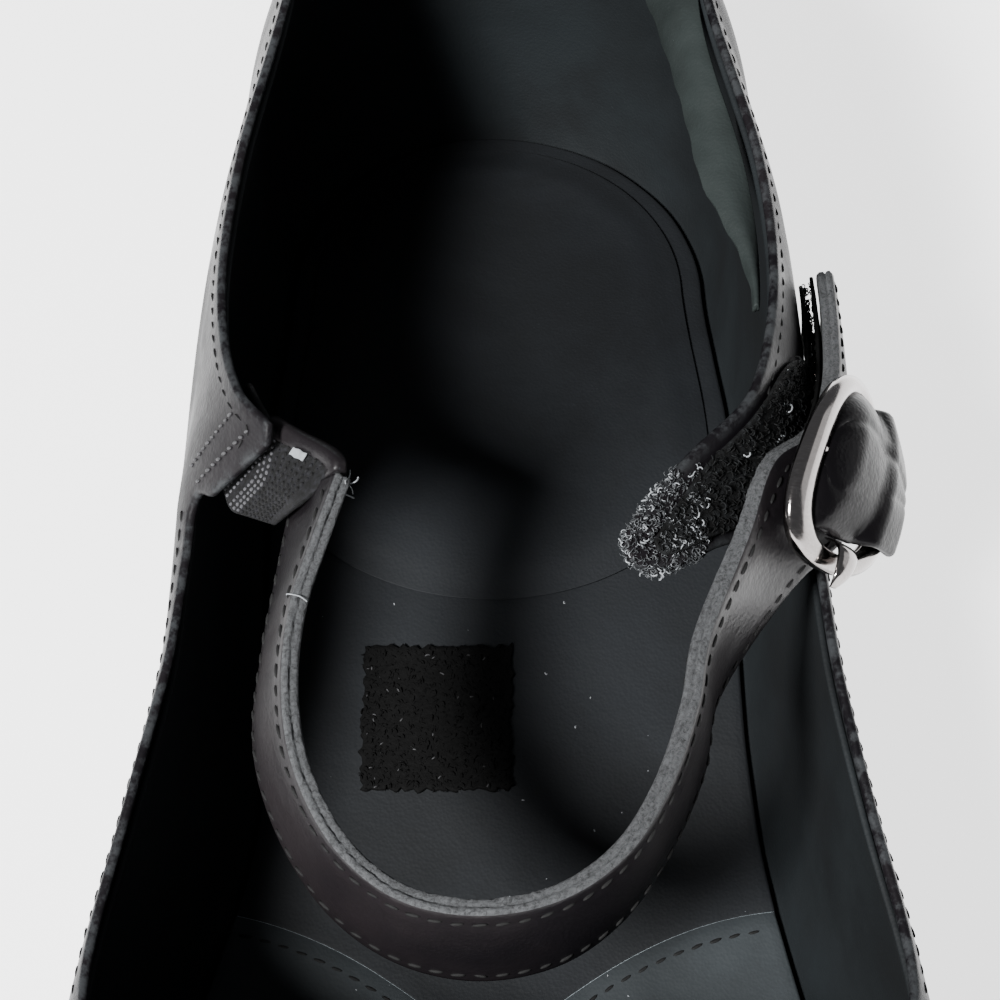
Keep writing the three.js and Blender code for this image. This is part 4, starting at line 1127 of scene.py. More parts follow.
def foot_slab(rings, to=1.0, strips=10):
    """A slab across the foot. rings go from its top face's edge round its side to its bottom face's edge,
    each with height, out and the face's height as a function of the distance from the heel's back."""
    loops = []
    for height, out, level in rings:
        outer = foot_line(1, height, out, to=to)
        inner = foot_line(-1, height, out, to=to)[::-1]
        inner = inner[:-1] if to < 1 else inner[1:-1]
        loop = np.vstack([outer, inner])
        loop[:, 2] = level(LENGTH / 2 - loop[:, 1])
        loops.append(loop)
    count = len(loops[0])
    half = len(foot_line(1, 0, 0, to=to))
    points = list(np.vstack(loops))
    faces = []
    for k in range(len(loops) - 1):
        for i in range(count):
            m = (i + 1) % count
            faces.append((k * count + i, (k + 1) * count + i, (k + 1) * count + m, k * count + m))

    def cap(first, level, turned):
        rows = []
        for i in range(half):
            left = first + i
            right = first + (count - i) % count
            a = points[left]
            b = points[right]
            row = [left]
            if left != right:
                for n in range(1, strips):
                    p = a + (b - a) * n / strips
                    p = np.array([p[0], p[1], level(LENGTH / 2 - p[1])])
                    row.append(len(points))
                    points.append(p)
                row.append(right)
            rows.append(row)
        for one, two in zip(rows, rows[1:]):
            ones = one if len(one) > 1 else one * (strips + 1)
            twos = two if len(two) > 1 else two * (strips + 1)
            for n in range(strips):
                face = [ones[n], ones[n + 1], twos[n + 1], twos[n]]
                face = [v for m, v in enumerate(face) if v != face[m - 1]]
                if len(face) > 2:
                    faces.append(tuple(face[::-1] if turned else face))

    cap(0, rings[0][2], False)
    cap((len(loops) - 1) * count, rings[-1][2], True)
    return np.array(points), faces


def rounded_side(out, top, bottom, radius, narrows=0.0):
    """Rings of a slab's side with rounded edges, from the top face to the bottom face."""
    rings = [(0, out - 3, top)]
    for turn in np.linspace(0, math.pi / 2, 4):
        drop = radius * (1 - math.cos(turn))
        rings.append((0, out - radius * (1 - math.sin(turn)), lambda s, d=drop: top(s) - d))
    for turn in np.linspace(0, math.pi / 2, 4):
        rise = radius * (1 - math.sin(turn))
        rings.append((0, out - narrows - radius * (1 - math.cos(turn)), lambda s, d=rise: bottom(s) + d))
    rings.append((0, out - narrows - 3, bottom))
    return rings


TREAD = {"depth": 0.4, "radius": 0.55, "pitch": 2.4, "inset": 4.0}


def outsole():
    """The sole, whose underside lies back from the tread's ridges."""
    rings = rounded_side(OUTSOLE_EDGE, sole_top, lambda s: sole_under(s) + TREAD["depth"], 0.9)
    points, faces = foot_slab(rings)
    return settle(make_piece("outsole_rubber", points, faces, [RUBBER]), "rubber", "outsole")


def tread(name, level, start, stop, edge):
    """Ridges across the sole's underside from start to stop, which end level with it."""
    sides = {side: foot_line(side, 0, edge - TREAD["inset"]) for side in (1, -1)}
    paths = []
    for s in np.arange(start, stop, TREAD["pitch"]):
        ends = []
        for side, line in sides.items():
            order = np.argsort(LENGTH / 2 - line[:, 1])
            ends.append(np.interp(s, (LENGTH / 2 - line[:, 1])[order], line[order, 0]))
        x = np.linspace(ends[1], ends[0], 24)
        wave = s + 0.8 * np.cos(x * 2 * math.pi / 16)
        paths.append(np.stack([x, LENGTH / 2 - wave, level(wave) + TREAD["radius"]], 1))
    grown_along(name, paths, RIDGES, RUBBER, "rubber", Radius=TREAD["radius"], Step=1.0, Seed=1)


def heel_block():
    """The heel between the sole and the top piece, a little narrower downwards."""
    narrow = HEEL_TAPER * (1 - TOP_PIECE_THICKNESS / HEEL_HEIGHT)
    rings = rounded_side(OUTSOLE_EDGE, lambda s: sole_under(s) - GAP,
                         lambda s: TOP_PIECE_THICKNESS + GAP + 0 * s, 0.35, narrow)
    points, faces = foot_slab(rings, HEEL_BREAST)
    return settle(make_piece("heel_stack", points, faces, [HEEL_RUBBER]), "rubber", "heel_block")


def heel_top_piece():
    """The heel's replaceable tip."""
    narrow = HEEL_TAPER * (1 - TOP_PIECE_THICKNESS / HEEL_HEIGHT)
    rings = rounded_side(OUTSOLE_EDGE - narrow, lambda s: TOP_PIECE_THICKNESS + 0 * s,
                         lambda s: TREAD["depth"] + 0 * s, 0.5, HEEL_TAPER - narrow)
    points, faces = foot_slab(rings, HEEL_BREAST)
    return settle(make_piece("heel_tip", points, faces, [RUBBER]), "rubber", "heel_top_piece")


# The socks, the pad and the patch inside

SOCK_HEIGHT = INSOLE_THICKNESS + GAP
SOCK_INSIDE = -(WALL + 1.5 * GAP) - 0.5 * WALL
SOCK_EDGE = {"middle": 0.574, "sides": 0.496, "half": 0.4, "round": 0.045}


def sock_edge(x):
    """Where the rear sock's rounded point ends, at a place across the foot."""
    half = BALL_WIDTH * SOCK_EDGE["half"]
    away = np.minimum(1, np.hypot(x, BALL_WIDTH * SOCK_EDGE["round"]) / half)
    return LENGTH * (SOCK_EDGE["sides"] + (SOCK_EDGE["middle"] - SOCK_EDGE["sides"]) * (1 - away) ** 2)


def foot_grid(height, out, start, stop, rows, cols=56):
    """A grid over the footbed. start and stop give the distances from the heel's back at a place across."""
    lines = {side: foot_line(side, height, out, 1.0) for side in (1, -1)}
    reach = {side: LENGTH / 2 - line[:, 1] for side, line in lines.items()}
    first = max(reach[1][0], reach[-1][0]) + 0.02
    final = min(reach[1][-1], reach[-1][-1]) - 0.02
    shares = np.linspace(-1, 1, cols)
    grid = np.zeros((rows, cols, 3))
    for i in range(rows):
        k = i / (rows - 1)
        x = np.zeros(cols)
        for _ in range(12):
            low = np.maximum(first, start(x))
            high = np.minimum(final, stop(x))
            if first >= float(np.min(start(x))):
                k_here = 1 - math.cos(k * math.pi / 2) if k < 1 else 1.0
            elif final <= float(np.max(stop(x))):
                k_here = math.sin(k * math.pi / 2)
            else:
                k_here = k
            s = low + (high - low) * k_here
            wide = np.interp(s, reach[1], lines[1][:, 0])
            narrow = np.interp(s, reach[-1], lines[-1][:, 0])
            x = (wide + narrow) / 2 + shares * (wide - narrow) / 2
        grid[i] = np.stack([x, LENGTH / 2 - s, np.zeros(cols)], 1)
    return grid


def pressed(x, s):
    """The footprint within the sock's thickness."""
    return np.clip(footbed_relief(x, s), -0.6, 0.1)


def footbed_relief(x, s):
    """The worn footprint: how far the socks are pressed down, and soft waves in them."""
    heel = 0.55 * np.exp(-(((x + 1) / 17) ** 2) - ((s - 38) / 26) ** 2)
    ball = 0.6 * np.exp(-(((x + 6) / 26) ** 2) - ((s - 176) / 24) ** 2)
    waves = 0.09 * np.sin(x * 0.21 + 1.3) * np.sin(s * 0.13) + 0.05 * np.sin(s * 0.47 + x * 0.2)
    return -(heel + ball) * 0.6 + waves * 0.8


THIN_EDGE = 0.22


def footbed_piece(name, grid, bottom, thickness, look, slot, nodes, relief=1.0, roundness=0.8,
                  skived=0):
    """A sheet that lies on the footbed and takes its footprint. A skived one thins out towards its edge,
    and a second look is for the cut edge."""
    rows, cols = grid.shape[:2]
    s = LENGTH / 2 - grid[..., 1]
    low = grid.copy()
    low[..., 2] = bottom(s)
    high = grid.copy()
    top = thickness + relief * pressed(grid[..., 0], s)
    if skived:
        rim = np.vstack([grid[0], grid[-1], grid[:, 0], grid[:, -1]])[:, :2]
        flat = grid[..., :2].reshape(-1, 1, 2)
        away = np.sqrt(((flat - rim[None]) ** 2).sum(-1).min(1)).reshape(rows, cols)
        top = THIN_EDGE + (top - THIN_EDGE) * smooth(0, skived, away)
    high[..., 2] = bottom(s) + top
    layers = (high.reshape(-1, 3), low.reshape(-1, 3))
    points, built, layer = close_shell(*layers, faces_up(grid), roundness)
    picks = None
    if len(look) > 1:
        at_cut = np.abs(LENGTH / 2 - points[:, 1] - sock_edge(points[:, 0])) < 0.75
        picks = [1 if kind < 2 and at_cut[list(f)].all() else 0 for f, kind in zip(built, layer)]
    made = make_piece(name, points, built, look, picks)
    return settle(made, slot, *nodes)


def rear_sock():
    """The sock from the heel to the sewn edge."""
    grid = foot_grid(SOCK_HEIGHT, SOCK_INSIDE, lambda x: 0 * x, lambda x: sock_edge(x) - GAP, 110)
    return footbed_piece("rear_sock_lining", grid, lambda s: insole_top(s) + GAP, SOCK_THICKNESS,
                         [SOCK_LINING], "lining", ["rear_sock"])


def forepart_sock():
    """The sock from the sewn edge to the toe, with a pale cut edge."""
    grid = foot_grid(SOCK_HEIGHT, SOCK_INSIDE, sock_edge, lambda x: LENGTH + 0 * x, 90)
    return footbed_piece("forepart_sock_lining", grid, lambda s: insole_top(s) + GAP, SOCK_THICKNESS,
                         [FORE_LINING, CUT_EDGE], "lining", ["forepart_sock"])


PAD_INSET = 3
PAD_FRONT = {"reach": 0.34, "half": 0.294, "depth": 0.21}


def pad_front(x):
    """Where the heel pad ends, at a place across the foot."""
    turn = np.arccos(np.clip(x / (BALL_WIDTH * PAD_FRONT["half"]), -1, 1))
    return LENGTH * PAD_FRONT["reach"] - BALL_WIDTH * PAD_FRONT["depth"] * (1 - np.sin(turn))


def heel_pad():
    """The padded oval on the rear sock."""
    lift = SOCK_HEIGHT + SOCK_THICKNESS + GAP
    grid = foot_grid(lift, SOCK_INSIDE - PAD_INSET, lambda x: 0 * x, pad_front, 70, 44)
    made = footbed_piece("heel_cushion", grid, lambda s: sock_top(s) + GAP, HEEL_PAD_THICKNESS,
                         [SOCK_LINING], "lining", ["heel_pad"], 0.6, skived=5)
    return made


PATCH_PLACE = {"across": -0.07, "at": 0.402}


def sock_patch():
    """The rough square of hook tape. Gives its grid for what stands on it."""
    n = 36
    u = np.linspace(-0.5, 0.5, n)
    at_edge = np.abs(u) > 0.49
    ragged_x, ragged_s = np.random.default_rng(7).normal(0, 0.22, (2, n))
    x = PATCH_PLACE["across"] * BALL_WIDTH + PATCH_SIDE * u + ragged_x[:, None] * at_edge
    s = (PATCH_PLACE["at"] * LENGTH + PATCH_SIDE * u)[:, None] + ragged_s * at_edge[:, None]
    grid = np.stack([x, LENGTH / 2 - s, 0 * s], -1)
    footbed_piece("hook_patch", grid, lambda s: sock_top(s) + GAP, PATCH_THICKNESS, [HOOKS], "tape",
                  ["sock_patch"], 0.3, 0.4)
    return grid


# The strap

EAR_ROWS = [(0.272, 0.51), (0.31, 0.51), (0.35, 0.522), (0.385, 0.555), (0.41, 0.585)]
HANGING_ROWS = table("across at up tilt trail", [
    (0.285, 0.452, 0.598, 24, -18),
    (0.234, 0.501, 0.57, 6, -8),
    (0.22, 0.527, 0.548, 6, 0),
    (0.184, 0.564, 0.523, 2, 0),
    (0.14, 0.588, 0.504, 0, 0),
    (0.076, 0.604, 0.491, 0, 0),
    (-0.009, 0.61, 0.485, 0, 0),
    (-0.093, 0.604, 0.491, 0, 0),
    (-0.158, 0.585, 0.51, 4, 0),
    (-0.203, 0.553, 0.535, 10, 0),
    (-0.217, 0.52, 0.56, 17, 0),
    (-0.21, 0.485, 0.585, 19, 0),
    (-0.189, 0.46, 0.61, 25, 3),
    (-0.164, 0.432, 0.635, 34, 14),
])
ON_EAR = 3 * GAP + 2 * TAPE_THICKNESS + STRAP_THICKNESS / 2
EAR_DROP = 0.97


def strap_rows():
    """Rows of four points across the strap, from its free end to its sewn end."""
    shares = np.array([0, 1 / 3, 2 / 3, 1])
    rows = [
        side_point(1, at * LENGTH, SEAT + up * INSTEP_HEIGHT - shares * STRAP_WIDTH * EAR_DROP, ON_EAR)
        for at, up in EAR_ROWS
    ]
    edge = np.stack([
        HANGING_ROWS["across"] * BALL_WIDTH,
        (0.5 - HANGING_ROWS["at"]) * LENGTH,
        SEAT + HANGING_ROWS["up"] * INSTEP_HEIGHT,
    ], 1)
    for i, point in enumerate(edge):
        before = edge[i - 1] if i else rows[-1][0]
        along = edge[min(i + 1, len(edge) - 1)] - before
        out = unit(np.array([-along[1], along[0], 0]))
        tilt = math.radians(HANGING_ROWS["tilt"][i])
        width = out * math.sin(tilt) + np.array([0, 0, -math.cos(tilt)])
        level = unit(np.array([along[0], along[1], 0]))
        width = unit(width + level * math.tan(math.radians(HANGING_ROWS["trail"][i])))
        rows.append(point + shares[:, None] * STRAP_WIDTH * width)
    return np.array(rows)


STRAP_ROWS = strap_rows()


def through(points, u):
    """Points at shares u of an even-handed smooth curve through points, as in the source."""
    n = len(points)
    ends = np.vstack([2 * points[0] - points[1], points, 2 * points[-1] - points[-2]])
    place_at = np.clip(u, 0, 1) * (n - 1)
    k = np.minimum(np.floor(place_at).astype(int), n - 2)
    w = (place_at - k)[:, None]
    p0, p1, p2, p3 = (ends[k + m] for m in range(4))
    d0, d1, d2 = (
        np.sqrt(np.maximum(np.linalg.norm(b - a, axis=1, keepdims=True), 1e-8))
        for a, b in ((p0, p1), (p1, p2), (p2, p3))
    )
    start = ((p1 - p0) / d0 - (p2 - p0) / (d0 + d1) + (p2 - p1) / d1) * d1
    stop = ((p2 - p1) / d1 - (p3 - p1) / (d1 + d2) + (p3 - p2) / d2) * d1
    return (p1 + start * w + (-3 * p1 + 3 * p2 - 2 * start - stop) * w**2
            + (2 * p1 - 2 * p2 + start + stop) * w**3)


def strap_point(u, v):
    """Points of the strap's middle surface; u runs from its free end, v from its upper edge down."""
    u, v = np.broadcast_arrays(np.asarray(u, float), np.asarray(v, float))
    lines = np.stack([through(STRAP_ROWS[:, j], u.ravel()) for j in range(4)], 1).reshape(*u.shape, 4, 3)
    k = np.clip(np.floor(v * 3).astype(int), 0, 2)
    w = (v * 3 - k)[..., None]
    low = np.take_along_axis(lines, k[..., None, None].repeat(3, -1), -2)[..., 0, :]
    high = np.take_along_axis(lines, (k + 1)[..., None, None].repeat(3, -1), -2)[..., 0, :]
    return low + (high - low) * w


def strap_out(u, v):
    """The way out of the strap's outer face."""
    u, v = np.asarray(u, float), np.asarray(v, float)
    along = strap_point(np.minimum(1, u + 0.004), v) - strap_point(np.maximum(0, u - 0.004), v)
    down = strap_point(u, v + 0.02) - strap_point(u, v - 0.02)
    return unit(np.cross(along, down))


STRAP_U = np.linspace(0, 1, 1201)
STRAP_RUN = running_length(strap_point(STRAP_U, 1 / 3 + 0 * STRAP_U))


def u_at(along):
    """Share of the strap's run at a distance in millimetres from its free end."""
    return np.interp(along, STRAP_RUN, STRAP_U)


def beside_strap(along, side, out):
    """Points beside the strap: along from its free end, side down from its middle, out of its outer face."""
    u = u_at(along)
    v = 0.5 + np.asarray(side) / STRAP_WIDTH
    u, v = np.broadcast_arrays(u, v)
    return strap_point(u, v) + strap_out(u, v) * (STRAP_THICKNESS / 2 + np.asarray(out)[..., None])


# The strap's materials by number, and its stitch rows' distance from its middle
STRAP_LOOKS = [TRIM_LEATHER, RAW_EDGE, LINING]
FACE, RAW, BACK = range(3)
STITCH_SIDE = 4.9


def strap_section():
    """The strap's outline across, as rows of place across, place outwards and material, from the middle
    of the outer face round the lower edge. Two layers show at the edges, with a groove between them."""
    half = STRAP_WIDTH / 2
    thick = STRAP_THICKNESS / 2
    edge = [
        (half - 2.4, thick, FACE), (half - 1.7, thick - 0.03, FACE), (half - 1.0, thick - 0.1, FACE),
        (half - 0.45, thick - 0.24, FACE), (half - 0.1, thick - 0.5, RAW), (half, thick - 0.78, RAW),
        (half - 0.06, 0.18, RAW), (half - 0.28, 0.02, RAW), (half - 0.06, -0.14, RAW),
        (half, 0.5 - thick, RAW), (half - 0.1, 0.3 - thick, RAW), (half - 0.4, 0.12 - thick, BACK),
        (half - 1.0, 0.02 - thick, BACK), (half - 1.9, -thick, BACK),
    ]
    face = [(x, thick, FACE) for x in np.linspace(-half + 3.2, half - 3.2, 9)]
    back = [(x, -thick, BACK) for x in np.linspace(half - 3.0, -half + 3.0, 7)]
    upper = [(-x, y, m) for x, y, m in reversed(edge)]
    return face + edge + back + upper


def strap():
    """The two-layer strap with frayed raw edges and stitch rows that draw it in a little."""
    section = strap_section()
    rng = np.random.default_rng(3)
    steps = 420
    u = np.linspace(0, 1, steps + 1)
    along = np.interp(u, STRAP_U, STRAP_RUN)
    rows = np.zeros((steps + 1, len(section), 3))
    rounding = np.minimum(1, 0.86 + 0.14 * np.sqrt(np.clip(along / 2.2, 0, 1)))
    rough = np.convolve(rng.normal(0, 1, steps + 60), np.ones(3) / 3, "same")[:steps + 1]
    for j, (side, out, kind) in enumerate(section):
        v = 0.5 + side * rounding / STRAP_WIDTH
        pucker = 0.0
        if kind != RAW:
            pucker = 0.1 * math.exp(-(((abs(side) - STITCH_SIDE) / 0.5) ** 2))
        rows[:, j] = strap_point(u, v) + strap_out(u, v) * (out - math.copysign(pucker, out))
        if kind == RAW:
            fray = 0.09 * np.roll(rough, j * 17) + 0.05 * rng.normal(0, 1, steps + 1)
            down = unit(strap_point(u, v + 0.02) - strap_point(u, v - 0.02))
            rows[:, j] += down * (np.sign(side) * fray)[:, None]
    points, faces = swept(rows)
    kinds = [kind for _, _, kind in section]
    strips = [one if one == other else RAW for one, other in zip(kinds, kinds[1:] + kinds[:1])]
    made = make_piece("strap_leather", points, faces, STRAP_LOOKS, strips * steps + [RAW, RAW])
    return settle(made, "leather", "strap")


# The fastening tapes

def thick_sheet(name, grid, low, high, look, slot, nodes, roundness=0.7):
    """A bent sheet between two offsets of a grid's own normals."""
    normals = grid_normals(grid)
    outer = (grid + normals * high).reshape(-1, 3)
    inner = (grid + normals * low).reshape(-1, 3)
    points, faces, layer = close_shell(outer, inner, grid_faces(*grid.shape[:2]), roundness)
    return settle(make_piece(name, points, faces, look), slot, *nodes)


def hook_tape():
    """The tape under the strap's free end. Gives its grid for the hooks."""
    u = np.linspace(0.004, 0.2, 60)[:, None]
    v = np.linspace(0.07, 0.93, 16)[None, :]
    grid = strap_point(*np.broadcast_arrays(u, v))
    low = -STRAP_THICKNESS / 2 - GAP - TAPE_THICKNESS
    thick_sheet("hook_tape_base", grid, low + 0.35, low + TAPE_THICKNESS, [HOOKS], "tape", ["hook_tape"])
    return grid


PILE_LINE = np.vstack([
    [place(0.27, 0.36), place(0.268, 0.48), place(0.33, 0.5)],
    bend(place(0.33, 0.5), place(0.345, 0.605), place(0.39, 0.618)),
    [place(0.462, 0.622)],
    bend(place(0.462, 0.622), place(0.47, 0.62), place(0.468, 0.603)),
    [place(0.447, 0.57)],
    bend(place(0.447, 0.57), place(0.425, 0.525), place(0.405, 0.43)),
])


def pile_tape():
    """The soft tape on the outer ear."""
    points, faces, _, _ = upper_layer({1: PILE_LINE}, 0.25, GAP + 0.5, GAP, 0.7)
    return settle(make_piece("pile_tape_base", points, faces, [PILE]), "tape", "pile_tape")


# The gore

GORE_BEHIND_EAR = table("at low high", [(0.374, 0.505, 0.615), (0.392, 0.503, 0.615), (0.411, 0.5, 0.612)])
GORE_END = {"along": 0.985, "inset": 0.04}


def gore_grid(rows=40, cols=30):
    """The gore's middle surface, from behind the ear to the strap's end."""
    shares = np.linspace(0, 1, cols)
    behind = -WALL - GAP - GORE_THICKNESS / 2
    knots = []
    for k in range(3):
        low = GORE_BEHIND_EAR["low"][k]
        high = GORE_BEHIND_EAR["high"][k]
        z = SEAT + INSTEP_HEIGHT * (high + (low - high) * shares)
        knots.append(side_point(-1, GORE_BEHIND_EAR["at"][k] * LENGTH, z, behind))
    v = GORE_END["inset"] + (1 - 2 * GORE_END["inset"]) * shares
    u = np.full(cols, GORE_END["along"])
    along = strap_point(u, v) - strap_point(u - 0.01, v)
    down = strap_point(u, v + 0.01) - strap_point(u, v - 0.01)
    end = strap_point(u, v) + unit(np.cross(along, down)) * (STRAP_THICKNESS / 2 + 3 * GAP)
    knots += [knots[-1] + (end - knots[-1]) / 3, knots[-1] + (end - knots[-1]) * 2 / 3, end]
    knots = np.array(knots)
    at = np.array([0, 0.16, 0.33, 0.56, 0.78, 1])
    t = np.linspace(0, 1, rows)
    grid = np.zeros((rows, cols, 3))
    for j in range(cols):
        for axis in range(3):
            grid[:, j, axis] = np.interp(t, at, knots[:, j, axis])
    for _ in range(6):
        grid[1:-1] = (grid[:-2] + 2 * grid[1:-1] + grid[2:]) / 4
    return grid


# The gore's bound upper edge, from behind the ear to the strap's end
BINDING_LINE = np.array([(-24.6, 29.4, 69.4), (-23.0, 27.5, 70.0), (-20.3, 24.9, 70.7), (-18.2, 23.0, 71.4),
                         (-16.5, 21.2, 72.0), (-15.7, 19.7, 72.2), (-15.8, 18.6, 71.6)])


def raised_gore(grid):
    """The gore with its upper edge brought to the binding, which bows up between the ear and the strap."""
    rows, cols = grid.shape[:2]
    start = round(0.24 * rows)
    line = spline(BINDING_LINE)
    run = running_length(line)
    share = np.clip((np.arange(rows) - start) / (rows - 1 - start), 0, 1)
    target = np.stack([np.interp(share * run[-1], run, line[:, k]) for k in range(3)], 1)
    pull = smooth(0, 0.12, share)[:, None] * (target - grid[:, 0])
    fade = 1 - smooth(0, 0.55, np.linspace(0, 1, cols))
    return grid + pull[:, None] * fade[None, :, None]


GORE_GRID = raised_gore(gore_grid())
GORE_OUT = grid_normals(GORE_GRID)
GORE_OUT = GORE_OUT * -np.sign(GORE_OUT[..., 0].mean())


def gore():
    """The elastic between the inner ear and the strap."""
    return thick_sheet("gore_elastic", GORE_GRID, -GORE_THICKNESS / 2 + 0.1, GORE_THICKNESS / 2 - 0.2,
                       [ELASTIC], "elastic", ["gore"])


# The buckle

BUCKLE_PLACE = 33
BUCKLE_HALF_ALONG = (BUCKLE_LENGTH - BUCKLE_BAR) / 2
BUCKLE_HALF_ACROSS = STRAP_WIDTH / 2 + 0.8
BUCKLE_TURN = math.radians(18)
BUCKLE_LIFT = 0.6
OVAL_SQUARE = 0.86
BED_HALF_ALONG = 15
BED_HALF_ACROSS = 7


def bed_terms(a, b):
    """The terms of a surface of the second degree."""
    one = np.ones(np.broadcast(a, b).shape)
    return np.stack([one, a * one, b * one, a * a * one, a * b * one, b * b * one], -1)


def buckle_bed():
    """The strap's outer face under the buckle as one evenly bent sheet."""
    along = np.linspace(-BED_HALF_ALONG, BED_HALF_ALONG, 31)
    side = np.linspace(-BED_HALF_ACROSS, BED_HALF_ACROSS, 15)
    a, b = np.meshgrid(along, side, indexing="ij")
    face = beside_strap(BUCKLE_PLACE + a, b, 0 * a)
    return np.linalg.lstsq(bed_terms(a, b).reshape(-1, 6), face.reshape(-1, 3), rcond=None)[0]


BUCKLE_BED = buckle_bed()


def on_buckle(along, side, out):
    """Points over the buckle's bed: along the strap, down across it and out of its face."""
    along, side, out = np.broadcast_arrays(*(np.asarray(v, float) for v in (along, side, out)))
    a = along * math.cos(BUCKLE_TURN) - side * math.sin(BUCKLE_TURN)
    b = along * math.sin(BUCKLE_TURN) + side * math.cos(BUCKLE_TURN)
    spot = bed_terms(a, b) @ BUCKLE_BED
    zero = np.zeros(a.shape)
    one = np.ones(a.shape)
    along_way = np.stack([zero, one, zero, 2 * a, b, zero], -1) @ BUCKLE_BED
    down_way = np.stack([zero, zero, one, zero, a, 2 * b], -1) @ BUCKLE_BED
    normal = unit(np.cross(along_way, down_way))
    return spot + normal * (GAP + BUCKLE_LIFT + out)[..., None]


def silver_piece(name, rows, closes=False, nodes=()):
    """A swept piece of the buckle."""
    points, faces = swept(rows, closes)
    return settle(make_piece(name, points, faces, [SILVER]), "silver", *nodes)


def buckle_ring():
    """The ring, a little squarer than an oval."""
    turn = round_turns(120)[:, None]
    phi = round_turns(20)
    c = squared(np.cos(turn), OVAL_SQUARE)
    s = squared(np.sin(turn), OVAL_SQUARE)
    reach = BUCKLE_BAR / 2 * np.cos(phi)
    rise = BUCKLE_THICKNESS / 2 * (1 + squared(np.sin(phi), 0.85))
    rows = on_buckle((BUCKLE_HALF_ALONG + reach) * c, (BUCKLE_HALF_ACROSS + reach) * s, rise)
    return silver_piece("buckle_oval", rows, True, ["buckle_frame"])


def buckle_bar():
    """The bar across the ring's middle, which the cover hides."""
    side = np.linspace(-1, 1, 25)[:, None] * (BUCKLE_HALF_ACROSS - 0.4)
    phi = round_turns(14)
    rows = on_buckle(0.9 * np.cos(phi), side, BUCKLE_THICKNESS / 2 + 0.8 * np.sin(phi))
    return silver_piece("buckle_middle_bar", rows)


def buckle_tongue():
    """The prong's tip, which rises from under the cover, crosses the ring and ends past it."""
    half = 0.65
    above = BUCKLE_THICKNESS + half
    knots = [
        (-BUCKLE_BAR, 1, half + GAP),
        (-0.72 * BUCKLE_BAR, 1, above - GAP / 2),
        (-0.22 * BUCKLE_BAR, 1, above + 2 * GAP),
        (0.5 * BUCKLE_BAR, 0.75, above + 2.5 * GAP),
        (1.1 * BUCKLE_BAR, 0.3, above + GAP),
    ]
    past, width, up = (values[:, None] for values in spline(knots, 7).T)
    width = np.minimum(width, 1.0)
    phi = round_turns(18)
    side = PRONG_WIDTH / 2 * width * np.cos(phi)
    rows = on_buckle(BUCKLE_HALF_ALONG + past, side, up + half * width * np.sin(phi))
    return silver_piece("buckle_tongue", rows, False, ["buckle_prong"])


def buckle_cover():
    """A padded leather loop that fills the ring and goes on over the ring's lower side."""
    clear = BUCKLE_BAR / 2 + 0.35
    inside_along = BUCKLE_HALF_ALONG - clear
    inside_across = BUCKLE_HALF_ACROSS - clear
    front = BUCKLE_HALF_ALONG - 1.32 * BUCKLE_BAR
    start = -0.97 * inside_across
    stop = BUCKLE_HALF_ACROSS + 0.4 * BUCKLE_BAR
    thickness = 1.3
    k = np.linspace(-1, 1, 52)[:, None]
    side = np.linspace(start, stop, 48)[None, :]
    oval = inside_along * (1 - np.minimum(1, np.abs(side / inside_across)) ** 2.3) ** (1 / 2.3)
    beyond = inside_along * (1 - 0.42 * (side / stop) ** 2)
    reach = np.where(side < 0, oval, beyond)
    ahead = np.minimum(reach, front - 1.6 * np.maximum(0, side / stop))
    along = (ahead - reach) / 2 + k * (ahead + reach) / 2
    round_end = np.sqrt(np.maximum(0, 1 - (0.97 * k) ** 2))
    dome = COVER_CROWN * round_end * smooth(start - 2.4, start + 3, side)
    over = (BUCKLE_THICKNESS + 1.7 * GAP) * smooth(0.12, 0.43, side / BUCKLE_HALF_ACROSS)
    folds = 0.22 * np.exp(-(((k + 0.35 - 0.05 * side) / 0.1) ** 2))
    folds += 0.15 * np.exp(-(((k - 0.42 + 0.03 * side) / 0.08) ** 2))
    turned = 1 - 0.55 * smooth(stop - 0.8 * BUCKLE_BAR, stop, side)
    height = np.sqrt(dome**2 + over**2) * 0.5 + np.maximum(dome, over) * 0.5 - folds
    grid = on_buckle(along, side + 0 * k, thickness / 2 + height * turned)
    return thick_sheet("buckle_cover_leather", grid, -thickness / 2, thickness / 2, [COVER_LEATHER],
                       "leather", ["buckle_cover"], 0.9)


# What grows on the pieces

def strap_stitches():
    """Two rows on the strap's face, and on its back as far as the hook tape leaves it free."""
    along = np.linspace(2.0, STRAP_RUN[-1] - 2.5, 240)
    seen = along[40:]
    front = [beside_strap(along, side, -0.04 + 0 * along) for side in (-STITCH_SIDE, STITCH_SIDE)]
    under = 0.02 - STRAP_THICKNESS
    back = [beside_strap(seen, side, under + 0 * seen) for side in (-STITCH_SIDE, STITCH_SIDE)]
    rows = (("strap_stitches", front, 1.6, 31), ("strap_back_stitches", back, 1.5, 32))
    for name, paths, length, seed in rows:
        grown_along(name, paths, STITCHES, THREAD, Pitch=2.2, Length=length, Width=0.42, Height=0.3,
                    Tilt=0.1, Jitter=0.06, Seed=seed)


